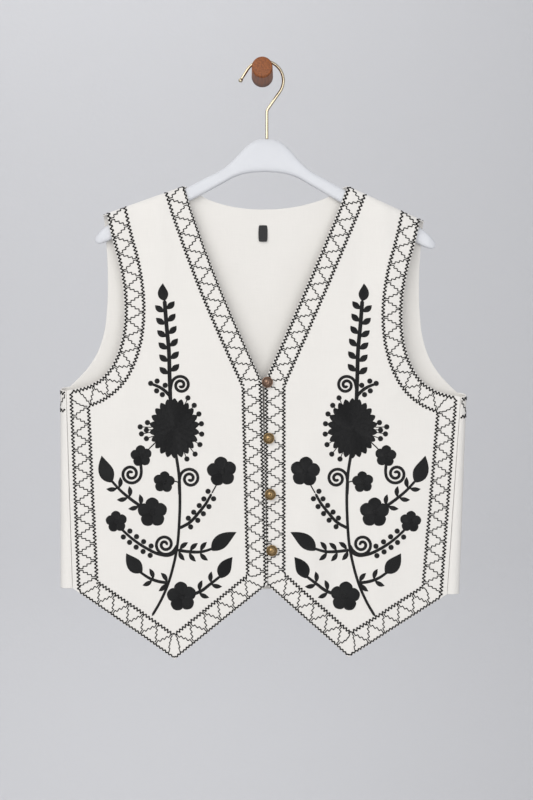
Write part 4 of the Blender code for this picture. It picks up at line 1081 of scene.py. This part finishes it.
def wave(panel, side, outer, inner):
    """The stepped thread from the outer to the inner line and back, four steps across and three
    along for each climb. It is measured out along the middle between the two lines."""
    middle = (evenly(outer, 200) + evenly(inner, 200)) / 2
    climbs = max(1, round(2 * lengths(middle)[-1] / WAVE_PERIOD))
    gap = TIP_GAP / WAVE_PERIOD
    along = np.repeat(np.linspace(gap, 1 - gap, 4), 2)
    up = np.concatenate([[0.05], np.repeat([0.275, 0.5, 0.725], 2), [0.95]])
    corners = np.stack([along, up], axis=1)
    mix = (STEP_ROUND, 0.5, 1 - STEP_ROUND)
    runs = [a * (1 - m) + b * m for a, b in zip(corners, corners[1:]) for m in mix]
    path = np.concatenate([corners[:1], runs, corners[-1:]])
    s = (np.arange(climbs)[:, None] + path[:, 0]) / climbs
    v = np.where(np.arange(climbs)[:, None] % 2 == 0, path[:, 1], 1 - path[:, 1])[..., None]
    base = spot(middle, s)
    places = nearest_on(outer, base) * (1 - v) + nearest_on(inner, base) * v
    return sewn(panel, side, places, 0.64, 0.5, sides=6)


def add_border(name, panel, side, lines):
    """The whole border of one panel as one piece."""
    parts = []
    for edge, outer in lines["outer"].items():
        inner = lines["inner"][edge]
        narrow = panel == "front" and edge in NARROW_EDGES[side]
        parts += zigzag(panel, side, outer, NARROW_SHARE if narrow else 1.0)
        parts += zigzag(panel, side, inner)
        parts.append(wave(panel, side, outer, inner))
    made = make_piece(name, *gathered(parts), MACHINE)
    return made


BORDERS = {side: add_border(f"border_front_{side}", "front", side, BORDER[side]) for side in HALVES}
BACK_BORDERS = [add_border(f"border_back_{side}", "back", side, BACK_BORDER[side]) for side in HALVES]

# %% [markdown]
# The sprays are free folk flowers: a stem with paired leaves and a bud, round flowers of five petals,
# one full flower with rings of pointed petals, twigs with berries and leaves, and curled tendrils.
# Each kind of shape is a small function of a few numbers, so a flower can be moved or grown in the
# tables. The embroiderer works them in satin stitch, with the larger flowers padded highest.

# %% Tables of the spray
STEM_WIDTH = 3.9
STEM = [(123.5, 142), (121, 174), (118, 206), (117, 240), (115.5, 275), (110, 330), (105.5, 360),
        (104.2, 388), (105, 420), (107.5, 450), (112.5, 475), (120, 500), (129, 520), (139.5, 538)]

# Each row: the places that a thin line passes, then its width.
LINES = [
    ([(105.5, 428), (92, 420.5), (80.5, 408), (71.5, 396.5), (64.5, 384)], 4.0),
    ([(108, 450), (111, 458), (118, 461.5), (129, 460.5), (146, 453), (165, 440), (178, 428)], 4.0),
    ([(107.5, 455), (92, 457), (78, 457), (62, 452.5)], 4.0),
    ([(138.5, 410), (152, 401), (166, 391), (179, 380), (190, 368)], 4.0),
    ([(117, 496), (130, 494.5), (143, 490), (155, 482)], 4.0),
    ([(102, 513), (92, 511), (78, 506), (66, 497), (53, 487)], 4.2),
    ([(116.5, 263), (122, 257), (130, 251.5), (140, 247.5)], 4.2),
    ([(64.5, 384), (59, 374), (54, 362)], 1.6),
    ([(104, 371), (111, 369), (122, 370)], 1.6),
    ([(126, 314), (137, 323), (148, 334)], 1.6),
]

# Each row: out and drop of the base, out and drop of the tip, and width.
LEAVES = [(189, 370.5, 202, 337, 19), (64.5, 455.5, 33.5, 432.5, 18), (151.5, 483, 171.5, 459, 18),
          (53.5, 490, 38.5, 463.5, 17), (123, 144, 125.5, 122, 13)]

# Each row: out, drop and radius.
FLOWERS = [(152.5, 337.5, 13.0), (124, 370, 13.0), (138.5, 408, 18.0), (52, 357, 18.0),
           (183.5, 419.5, 13.0), (102, 513, 18.0)]

# Each row: out and drop of the middle, radius, the angle it starts at, and where it leaves the stem.
CURLS = [(103.0, 249, 12.0, 180, (117, 266)), (165.4, 359.8, 12.8, 0, (153, 347)),
         (91.6, 365.5, 12.9, 180, (104.6, 386)), (122.8, 448, 13.0, 45, (107.5, 449))]
CURL_TURNS = 1.95
CURL_WIDTH = 3.8

# Each row: the line that carries leaflets, pairs of them, and the shares where they start and end.
LEAFLETS = [(2, 3, 0.05, 0.62), (3, 3, 0.28, 0.80), (4, 2, 0.08, 0.52), (5, 2, 0.40, 0.72)]

# Each row: the line that carries berries, its side, how many, the shares where they start and end,
# and their distance from the line.
BERRIES = [(0, 1, 5, 0.29, 1.0, 5.2), (0, -1, 5, 0.22, 0.92, 5.2), (1, -1, 4, 0.49, 0.88, 5.4),
           (1, 1, 5, 0.44, 0.89, 5.6), (6, 1, 2, 0.30, 0.65, 5.7), (6, -1, 2, 0.45, 0.80, 5.7)]
BERRY_RADIUS = 3.35
LAST_BERRY = (140.6, 247.0)

# The full flower: out and drop of its middle, and half its width and height.
DAHLIA = np.array([111.0, 303.0])
DAHLIA_SIZE = np.array([29.5, 35.5])

# Each row: petals, share of the radius where they start and end, half width, lift and height.
DAHLIA_ROWS = [(22, 0.50, 1.06, 4.6, 0.1, 1.1), (20, 0.34, 0.84, 4.6, 0.6, 1.1),
               (15, 0.14, 0.60, 4.2, 1.1, 1.1), (9, 0.0, 0.36, 3.4, 1.6, 1.0)]

# Each berry on a stalk round the full flower: its angle in degrees, and its share of the radius.
STALKS = [(-28, 1.21), (-46, 1.16), (-64, 1.15), (-82, 1.15), (-100, 1.17), (-118, 1.22), (-136, 1.26),
          (-154, 1.2), (80, 1.16), (88, 1.45), (93, 1.19), (98, 1.41), (107, 1.24)]

# %% [markdown]
# The shapes of the spray, as paths on the cut with half widths: a leaf is widest nearer its base, a
# round petal nearer its tip, and a berry is as long as it is wide.

# %% Kinds of shapes
def straight(starts, ends, shares):
    """Paths (form, point, 2) from each start to each end."""
    starts, ends = np.asarray(starts, float), np.asarray(ends, float)
    return starts[:, None] * (1 - shares)[:, None] + ends[:, None] * shares[:, None]


def leaf_forms(side, starts, ends, widths, sway=0.08, vein=0.55, height=1.15, sides=16, peak=0.75):
    """Leaves with a curved middle line; half width is w sin(pi s^peak) at share s."""
    share, _ = oval(15)
    paths = straight(starts, ends, share)
    along = np.asarray(ends, float) - np.asarray(starts, float)
    aside = quarter(along) * np.broadcast_to(sway, len(along))[:, None]
    paths = paths + aside[:, None] * np.sin(math.pi * share)[:, None]
    wide = np.sin(math.pi * share[1:-1] ** peak)
    half = np.asarray(widths, float)[:, None] / 2 * wide
    tall = height * np.minimum(1, np.asarray(widths, float)[:, None] / 9) ** 0.5 * wide**0.6
    return sewn("front", side, paths, half, tall, sides=sides, vein=vein)


def round_forms(side, middles, radii, height=1.5, lift=0.0):
    """Berries and centres: a dome as long as wide."""
    share, wide = oval(9)
    middles, radii = np.asarray(middles, float), np.broadcast_to(radii, len(middles))[:, None]
    reach = np.concatenate([np.zeros_like(radii), radii], axis=1)
    paths = straight(middles - reach, middles + reach, share)
    return sewn("front", side, paths, radii * wide[1:-1], height * wide[1:-1], sides=12, lift=lift)


def line_form(side, path, width, points, height=0.9, end=0.8, start=1.0):
    """One smooth line of thread through the given places; start and end are shares of its width."""
    path = smooth_path(path, points + 2)[None]
    taper = np.interp(np.linspace(0, 1, points), [0, 0.25, 0.45, 1], [start, start, 1, end])
    return sewn("front", side, path, width / 2 * taper, height * taper**0.5, sides=8)


def rays(angles):
    """Directions on the cut at angles from straight up."""
    return np.stack([np.sin(angles), -np.cos(angles)], axis=1)


def petal_forms(side, middle, angles, start, end, half, lift, height, peak, full):
    """Petals that ray from a middle, from a radius start to a radius end, which may be ovals' half
    width and half height. Half width is w sin(pi s^peak)^full at share s."""
    share, _ = oval(11)
    paths = straight(middle + rays(angles) * start, middle + rays(angles) * end, share)
    wide = np.sin(math.pi * share[1:-1] ** peak) ** full
    return sewn("front", side, paths, half * wide, height * wide**0.7, sides=12, lift=lift, vein=0.3)


def beside(path, sides, share):
    """Places at shares of a path, and the directions along it and to the given side, 1 or -1."""
    along = unit(spot(path, np.minimum(share + 0.03, 1)) - spot(path, np.maximum(share - 0.03, 0)))
    across = quarter(along) * np.broadcast_to(sides, len(share))[:, None]
    return spot(path, share), along, across


def in_pairs(path, pairs, first, last, stagger):
    """Pairs beside a path, one side ahead by stagger."""
    sides = np.tile([1, -1], pairs)
    return beside(path, sides, np.repeat(np.linspace(first, last, pairs), 2) + stagger * sides)


def curl_path(out, drop, radius, start, root):
    """A tendril: from its root to a circle, then round and inwards to a tenth of the radius."""
    share = np.linspace(0, 1, 40)
    angle = math.radians(start) + 2 * math.pi * CURL_TURNS * share
    size = radius * (1 - 0.9 * share)
    coil = np.stack([out - size * np.cos(angle), drop + size * np.sin(angle)], axis=1)
    return np.concatenate([[root], coil])


# %% [markdown]
# Both fronts carry the same spray, mirrored, as the work is drawn from one pattern turned over.

# %% The sprays
def add_spray(side):
    """One front's spray as one piece."""
    stem = smooth_path(STEM, 61)
    lines = [smooth_path(places, 25) for places, _ in LINES]
    parts = [line_form(side, STEM, STEM_WIDTH, 120, end=0.85, start=1.3)]
    parts += [line_form(side, places, width, 28) for places, width in LINES]
    parts += [line_form(side, curl_path(*row), CURL_WIDTH, 130, height=0.95, end=1.0) for row in CURLS]
    root, along, across = in_pairs(stem[::-1], 6, 0.772, 0.965, -0.004)
    tip = root + 15.4 * (0.80 * across + 0.60 * along)
    sway = 0.07 * np.tile([1, -1], 6)
    parts.append(leaf_forms(side, root, tip, np.full(12, 7.8), sway, vein=0.3, peak=1.15))
    for k, pairs, first, last in LEAFLETS:
        root, along, across = in_pairs(lines[k], pairs, first, last, 0.01)
        tip = root + 14.8 * (0.78 * across + 0.63 * along)
        sway = 0.09 * np.tile([1, -1], pairs)
        widths = np.full(2 * pairs, 5.9)
        parts.append(leaf_forms(side, root, tip, widths, sway, vein=0.2, height=0.9, sides=10, peak=1.1))
    rows = np.array(LEAVES, float)
    parts.append(leaf_forms(side, rows[:, :2], rows[:, 2:4], rows[:, 4], sway=0.06))
    dots = []
    for k, which, count, first, last, reach in BERRIES:
        place, _, across = beside(lines[k], which, np.linspace(first, last, count))
        dots.append(place + across * reach)
    turn, reach = np.array(STALKS).T
    ring = rays(np.radians(turn)) * DAHLIA_SIZE
    loose = DAHLIA + ring * reach[:, None]
    stalks = straight(DAHLIA + ring * 0.9, loose, np.linspace(0, 1, 6))
    parts.append(sewn("front", side, stalks, 0.6, 0.5, sides=6))
    parts.append(round_forms(side, np.concatenate([*dots, loose, [LAST_BERRY]]), BERRY_RADIUS))
    for out, drop, radius in FLOWERS:
        middle = np.array([out, drop])
        angles = round_turn(5) + 0.1 * math.sin(out)
        start, end, half = radius * 0.04, radius * 1.05, radius * 0.47
        parts.append(petal_forms(side, middle, angles, start, end, half, 0.0, 1.35, peak=1.4, full=0.6))
        parts.append(round_forms(side, [middle], radius * 0.17, height=0.7, lift=1.2))
    share, wide = oval(17)
    foot = DAHLIA_SIZE * [0.0, 0.9]
    bed = straight([DAHLIA + foot], [DAHLIA - foot], share)
    parts.append(sewn("front", side, bed, DAHLIA_SIZE[0] * 0.9 * wide[1:-1], 0.9 * wide[1:-1], sides=20))
    for petals, start, end, half, lift, height in DAHLIA_ROWS:
        angles = 2 * math.pi * (np.arange(petals) + 0.5 * (petals % 2)) / petals
        start, end = DAHLIA_SIZE * start, DAHLIA_SIZE * end
        parts.append(petal_forms(side, DAHLIA, angles, start, end, half, lift, height, peak=1.2, full=0.65))
    parts.append(round_forms(side, [DAHLIA], 3.6, height=0.9, lift=2.2))
    made = make_piece(f"spray_{side}", *gathered(parts), SATIN)
    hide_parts(f"embroidery_{side}")
    return made


SPRAYS = {side: add_spray(side) for side in HALVES}

# %% [markdown]
# ## Buttons and their loops
#
# The buttons are cast metal: a dome with a raised rim and a groove inside it, on a short shank. They
# are turned from a profile, as on a lathe. The mask "wear" is high where a hand polishes the metal
# and low in the grooves. Each loop is a cord of two twisted threads that leaves the other front's
# edge, goes round the shank under the button and comes back.

# %% Turned pieces
BUTTON_COUNT = 4
BUTTON_TOP_DROP = 245.5
BUTTON_STEP = 70.0
BUTTON_OUT = (4.9, 10.6)
BUTTON_SIDES = 48
LOOP_HALF_WIDTH = 2.9
CORD_RADIUS = 0.55
CORD_TURNS = 9

# Each row: radius, height above the cloth, and wear.
BUTTON_PROFILE = [
    (1.5, 0.0, 0.2), (1.5, 1.4, 0.1), (1.5, 2.7, 0.1), (2.2, 3.0, 0.1), (5.6, 3.0, 0.2),
    (6.5, 3.05, 0.4), (6.92, 3.3, 0.8), (7.0, 3.75, 0.9), (6.85, 4.25, 0.9), (6.45, 4.5, 0.7),
    (6.05, 4.42, 0.15), (5.7, 4.6, 0.1), (5.2, 5.2, 0.5), (4.5, 5.95, 0.75), (3.5, 6.8, 0.9),
    (2.4, 7.45, 0.9), (1.5, 7.78, 0.8), (1.0, 7.86, 0.3), (0.55, 7.76, 0.0),
]


def turned(profile, centre, sides):
    """A closed form turned about a line through centre that runs towards the viewer.

    profile has radius and height columns; the ends close in a point.
    """
    radius, height = profile[:, 0], profile[:, 1]
    angle = round_turn(sides)
    ring = np.stack([radius[:, None] * np.cos(angle), np.repeat(-height[:, None], sides, axis=1),
                     radius[:, None] * np.sin(angle)], axis=-1)
    ends = np.array([[0.0, -h, 0.0] for h in (height[0], height[-1])]) + centre
    run = np.r_[0, lengths(profile[:, :2]) + radius[0], 0]
    run[-1] = run[-2] + radius[-1]
    uv = ring_uv(run, radius[:, None] * np.linspace(0, 2 * math.pi, sides + 1))
    return lofts((ring + centre)[None], ends[:1], ends[1:], uv)


def swept(path, radii, sides, up):
    """A round tube along a path (point, 3), its radii given; up is a direction that is never along
    the path. The first and last points are the ends."""
    along = unit(path[2:] - path[:-2])
    across = unit(np.cross(up, along))
    rise = np.cross(along, across)
    angle = round_turn(sides)
    ring = across[:, None] * np.cos(angle)[:, None] + rise[:, None] * np.sin(angle)[:, None]
    rings = path[1:-1, None] + ring * np.broadcast_to(radii, len(along))[:, None, None]
    uv = ring_uv(lengths(path), np.linspace(0, 2 * math.pi, sides + 1) * np.mean(radii))
    return lofts(rings[None], path[:1], path[-1:], uv)


def loop_path(start_x, shank_x, y, z):
    """A U of cord: out from the edge, round the shank and back, a little slack on its way."""
    turn = np.linspace(math.pi / 2, -math.pi / 2, 16)
    bend = np.stack([shank_x + LOOP_HALF_WIDTH * np.cos(turn), np.full(16, y),
                     z + LOOP_HALF_WIDTH * np.sin(turn)], axis=1)
    ends = np.array([[start_x, y, z + LOOP_HALF_WIDTH * 0.8], [start_x, y, z - LOOP_HALF_WIDTH * 0.8]])
    return evenly(np.concatenate([ends[:1], bend, ends[1:]]), 70)


def twisted(path, radius, turns):
    """Two threads wound round a path in its own plane."""
    along = unit(np.gradient(path, axis=0))
    level = np.broadcast_to([0.0, 1.0, 0.0], path.shape)
    side = np.cross(along, level)
    parts = []
    for start in (0.0, math.pi):
        angle = (start + 2 * math.pi * turns * np.linspace(0, 1, len(path)))[:, None]
        ply = path + radius / 2 * (side * np.cos(angle) + level * np.sin(angle))
        parts.append(swept(ply, radius * 0.56, 7, np.array([0.0, 1.0, 0.0])))
    return parts


left = HALVES["left"]
profile = np.array(BUTTON_PROFILE)
for k in range(BUTTON_COUNT):
    out = BUTTON_OUT[0] + (BUTTON_OUT[1] - BUTTON_OUT[0]) * k / (BUTTON_COUNT - 1)
    drop = BUTTON_TOP_DROP + BUTTON_STEP * k
    seat, _ = on_cloth("front", "right", np.array(out), np.array(drop), np.array(SEAM_GAP))
    form = turned(profile, seat, BUTTON_SIDES)
    wear = np.r_[np.repeat(profile[:, 2], BUTTON_SIDES), profile[0, 2], profile[-1, 2]]
    metal = (COPPER, BRASS, BRASS, BRASS)[k]
    button = make_piece(f"domed_button_{k + 1}", *form, metal, {"wear": wear})
    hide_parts(f"button_{k + 1}")
    share = (drop - NECK_DROP) / (left["edge_hem"] - NECK_DROP)
    edge = CENTRE_X - (left["edge_top"] + (left["edge_bottom"] - left["edge_top"]) * share)
    path = loop_path(edge - 0.8, seat[0], seat[1] - 0.7, seat[2])
    cord = make_piece(f"cord_loop_{k + 1}", *gathered(twisted(path, CORD_RADIUS, CORD_TURNS)), CORD)
    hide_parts(f"loop_{k + 1}")

# %% [markdown]
# ## Label
#
# A small woven tape sewn in at its top edge only, so its foot stands off the back. It stays bare.

# %% The label
LABEL = {"x": 0.9, "drop": 58.0, "width": 11.6, "height": 21.0, "thickness": 0.9, "kick": 1.6}


def add_label():
    """A soft-edged strip: rings along its height, each a flat oval that follows the back's inside."""
    share, _ = oval(18)
    height = share[1:-1]
    drop = LABEL["drop"] + LABEL["height"] * (share - 0.5)
    across = LABEL["x"] - CENTRE_X
    inner = place_back("right", np.abs(np.full(18, across)), drop)
    base = inner[:, 1] - CLOTH / 2 - SEAM_GAP - LABEL["thickness"] / 2 - LABEL["kick"] * share**2
    angle = round_turn(24)
    full = (4 * height * (1 - height)) ** 0.08
    x = LABEL["x"] + LABEL["width"] / 2 * full[:, None] * squared(np.cos(angle), 0.25)
    y = base[1:-1, None] + LABEL["thickness"] / 2 * np.sin(angle) * full[:, None]
    z = np.repeat((SHOULDER_Z - drop[1:-1])[:, None], 24, axis=1)
    ends = np.stack([np.full(2, LABEL["x"]), base[[0, -1]], SHOULDER_Z - drop[[0, -1]]], axis=1)
    uv = ring_uv(LABEL["height"] * share, LABEL["width"] / 2 * np.cos(np.linspace(0, 2 * math.pi, 25)))
    form = lofts(np.stack([x, y, z], -1)[None, :, ::-1], ends[:1], ends[1:], uv[:, :, ::-1])
    label = make_piece("woven_label", *form, TAPE)
    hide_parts("label")


add_label()

# %% [markdown]
# ## Hanger, hook and peg
#
# The hanger is shaped wood under white paint: its section is a rounded bar that grows thinner to both
# tips. A wire hook is screwed into its middle, bent over the peg, and ends in a small ball. The peg is
# a turned dowel with a softened front edge.

# %% The hanger
HANGER_X = 5.8
HANGER_STAND = 20.0
HANGER_TILT = math.radians(0.9)
HANGER_THICKNESS = (11.0, 8.5)
HANGER_SQUARE = 0.62

# Each row: out, top and bottom of the arm.
HANGER_ARM = [
    (0, -82.5, -123.6), (9, -82.9, -124), (18, -86.5, -124.8), (27, -93.8, -126.4), (40, -108, -130.8),
    (53, -119.8, -138), (76, -132.6, -151), (104, -147.8, -166.5), (150, -168.5, -190), (188, -187.3, -209),
    (202, -197, -215.5), (210, -205, -216.8), (213.5, -210, -214.4),
]


def level_slopes(wanted, places, values):
    """Values between the given ones on smooth cubics that are level at the hanger's middle."""
    slopes = np.gradient(values, places)
    slopes[0] = 0.0
    return cubic(wanted, places, values, slopes)


def add_hanger():
    """Upright slices from tip to tip, each an oval made squarer by a power of its cos and sin."""
    rows = np.array(HANGER_ARM)
    tip = rows[-1, 0]
    turn = np.linspace(-math.pi / 2, math.pi / 2, 151)
    x = (tip - 0.2) * np.sin(turn)
    out = np.abs(x)
    top = level_slopes(out, rows[:, 0], rows[:, 1])
    bottom = level_slopes(out, rows[:, 0], rows[:, 2])
    thick = HANGER_THICKNESS[0] + (HANGER_THICKNESS[1] - HANGER_THICKNESS[0]) * (out / tip) ** 2
    thick = thick * np.minimum(1, np.sqrt(np.maximum(tip - out, 0.02) / 9))
    angle = round_turn(32)
    y = thick[:, None] / 2 * squared(np.cos(angle), HANGER_SQUARE)
    z = (top + bottom)[:, None] / 2 + (top - bottom)[:, None] / 2 * squared(np.sin(angle), HANGER_SQUARE)
    up = z - HANGER_ARM[0][1]
    cosine, sine = math.cos(HANGER_TILT), math.sin(HANGER_TILT)
    points = np.stack([HANGER_X + x[:, None] * cosine + up * sine, y - HANGER_STAND,
                       HANGER_ARM[0][1] - x[:, None] * sine + up * cosine], axis=-1)
    ends = points[[0, -1]].mean(1) + [[-0.2, 0, 0], [0.2, 0, 0]]
    uv = ring_uv(np.r_[x[0], x, x[-1]], np.linspace(0, 60, 33))
    hanger = make_piece("painted_hanger", *lofts(points[None], ends[:1], ends[1:], uv), PAINT)
    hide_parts("hanger")


add_hanger()

# %% [markdown]
# The hook is one wire along a path of straight runs and arcs. Its radius swells at the free end, where
# the ball is, as the root of R^2 - d^2 at distance d from the ball's middle.

# %% Hook and peg
PEG_LENGTH = 62.0
PEG_RADIUS = (13.6, 12.8)
WIRE_RADIUS = 1.9
BALL_RADIUS = 2.75
HOOK = {"radius": 24.7, "x": 1.8, "tip_angle": 148.0, "tip_length": 18.0, "throat_angle": -35.0,
        "bend": 9.0}


def hook_path():
    """The wire's centre line: its straight tip, the arc over the peg, the throat, and the shank."""
    centre = np.array([HOOK["x"], PEG_RADIUS[0] + SEAM_GAP + WIRE_RADIUS - HOOK["radius"]])
    start, end = math.radians(HOOK["tip_angle"]), math.radians(HOOK["throat_angle"])
    turn = np.linspace(start, end, 90)
    arc = centre + HOOK["radius"] * np.stack([np.cos(turn), np.sin(turn)], axis=1)
    outward = np.array([-math.sin(start), math.cos(start)])
    tip = arc[0] + outward * np.linspace(HOOK["tip_length"], 0.4, 14)[:, None]
    throat = np.array([math.sin(end), -math.cos(end)])
    run = (HANGER_X - arc[-1, 0]) / throat[0]
    level = arc[-1, 1] + throat[1] * run - HOOK["bend"] * math.tan(-end / 2)
    middle = np.array([HANGER_X + HOOK["bend"], level])
    angle = math.pi + end * (1 - np.linspace(0, 1, 20))
    bend = middle + HOOK["bend"] * np.stack([np.cos(angle), np.sin(angle)], axis=1)
    foot = np.array([[HANGER_X, HANGER_ARM[0][1] + 12.0], [HANGER_X, HANGER_ARM[0][1] - 0.4]])
    return evenly(np.concatenate([tip, arc, bend, foot]), 260)


wire = hook_path()
path = np.stack([wire[:, 0], np.full(len(wire), -HANGER_STAND), wire[:, 1]], axis=1)
from_tip = lengths(path)[1:-1]
ball = np.sqrt(np.maximum(BALL_RADIUS**2 - (from_tip - BALL_RADIUS) ** 2, 0.0))
ball = np.where(from_tip > BALL_RADIUS, np.maximum(ball, WIRE_RADIUS), ball)
hook = make_piece("bent_hook", *swept(path, ball, 24, np.array([0.0, -1.0, 0.0])), GOLD)
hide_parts("hook")

round_edge = np.linspace(0, math.pi / 2, 9)
length = np.linspace(0.6, PEG_LENGTH - 2.6, 14)
wide, narrow = PEG_RADIUS
foot = [(wide - 0.5, 0.0), (wide, 0.3)]
side_of_peg = np.stack([wide + (narrow - wide) * length / PEG_LENGTH, length], axis=1)
front_edge = np.stack([narrow - 2.2 * (1 - np.cos(round_edge)),
                       PEG_LENGTH - 0.6 - 2.0 * (1 - np.sin(round_edge))], axis=1)
face = np.stack([np.linspace(narrow - 3.2, 1.0, 7), PEG_LENGTH - np.linspace(0.5, 0.0, 7) ** 1.5], axis=1)
peg_profile = np.concatenate([foot, side_of_peg, front_edge, face])
peg = make_piece("turned_peg", *turned(peg_profile, np.zeros(3), 72), PEG_WOOD)
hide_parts("wall_peg")

# %% [markdown]
# ## Stage, light and camera
#
# A plain pale sweep, far behind, is floor and backdrop in one. A large lamp from the upper left gives
# the soft shading of a window, one near the camera keeps the folds open, and two behind the vest light
# the sweep alone. The camera stands 2 m from the garment, level with its middle.

# %% Stage
def add_sweep():
    """Floor and backdrop as one sheet: flat, then a quarter circle up, then upright."""
    turn = np.linspace(0, math.pi / 2, 16)
    curve = np.stack([2600 + 1000 * np.sin(turn), 1000 - 1000 * np.cos(turn)], 1)
    profile = np.concatenate([[(-4500, 0)], curve, [(3600, 5200)]])
    wide = np.linspace(-5000, 5000, 12)
    depth, height = (np.repeat(profile[:, k : k + 1], 12, axis=1) for k in (0, 1))
    points = np.stack([np.broadcast_to(wide, depth.shape), depth, height - 1950], -1)
    quads, places = grid_quads(len(profile), 12)
    sweep = make_piece("sweep", points.reshape(-1, 3), quads, places.astype(float), SWEEP_PAINT)


SWEEP_PAINT = new_material("pale_paint", (0.60, 0.60, 0.61), 0.95, BRUSHED, "Object", 0.0005,
                           {"Clouds": 0.01}, Specular_IOR_Level=0.1)
add_sweep()


def add_light(name, place, aim, size, power, colour):
    """A square area lamp that looks from place to aim, in metres."""
    lamp = bpy.data.lights.new(name, "AREA")
    lamp.shape, lamp.size, lamp.energy, lamp.color = "SQUARE", size, power, colour
    thing = bpy.data.objects.new(name, lamp)
    bpy.context.scene.collection.objects.link(thing)
    x, y, z = np.array(aim) - np.array(place)
    thing.location = place
    thing.rotation_euler = (math.pi / 2 - math.atan2(-z, math.hypot(x, y)), 0.0, math.atan2(-x, y))


add_light("key_light", (-1.5, -2.5, 0.9), (0, 0, -0.4), 2.2, 44, (1.0, 0.985, 0.96))
add_light("fill_light", (0.5, -3.1, -0.5), (0, 0, -0.4), 2.4, 46, (1.0, 0.995, 0.985))
add_light("back_light", (-0.9, 1.8, 2.2), (-0.5, 3.6, -1.2), 3.0, 46, (0.99, 0.99, 1.0))
add_light("low_light", (-0.5, 1.5, -1.75), (-0.4, 3.6, -0.7), 1.5, 16, (0.99, 0.99, 1.0))
world = bpy.data.worlds.new("pale_sky")
world.use_nodes = True
world.node_tree.nodes["Background"].inputs["Color"].default_value = (0.93, 0.95, 1.0, 1.0)
world.node_tree.nodes["Background"].inputs["Strength"].default_value = 0.58
bpy.context.scene.world = world
bpy.context.scene.view_settings.view_transform = "Standard"

lens = bpy.data.cameras.new("camera")
lens.lens, lens.sensor_width = 72.0, 36.0
camera = bpy.data.objects.new("camera", lens)
camera.location = (0.0053, -2.030, -0.4102)
camera.rotation_euler = (math.pi / 2, 0.0, 0.0)
bpy.context.scene.collection.objects.link(camera)
bpy.context.scene.camera = camera

# %% [markdown]
# ## What the cloth was cut to
#
# Last, the three sheets are declared with the size of the rectangle that each is cut from and the area
# of the piece itself, and the boxes of the CAD part and of this model are kept to compare.

# %% Sheets and sizes
for side in HALVES:
    edge = FRONT_OUTLINE[side]
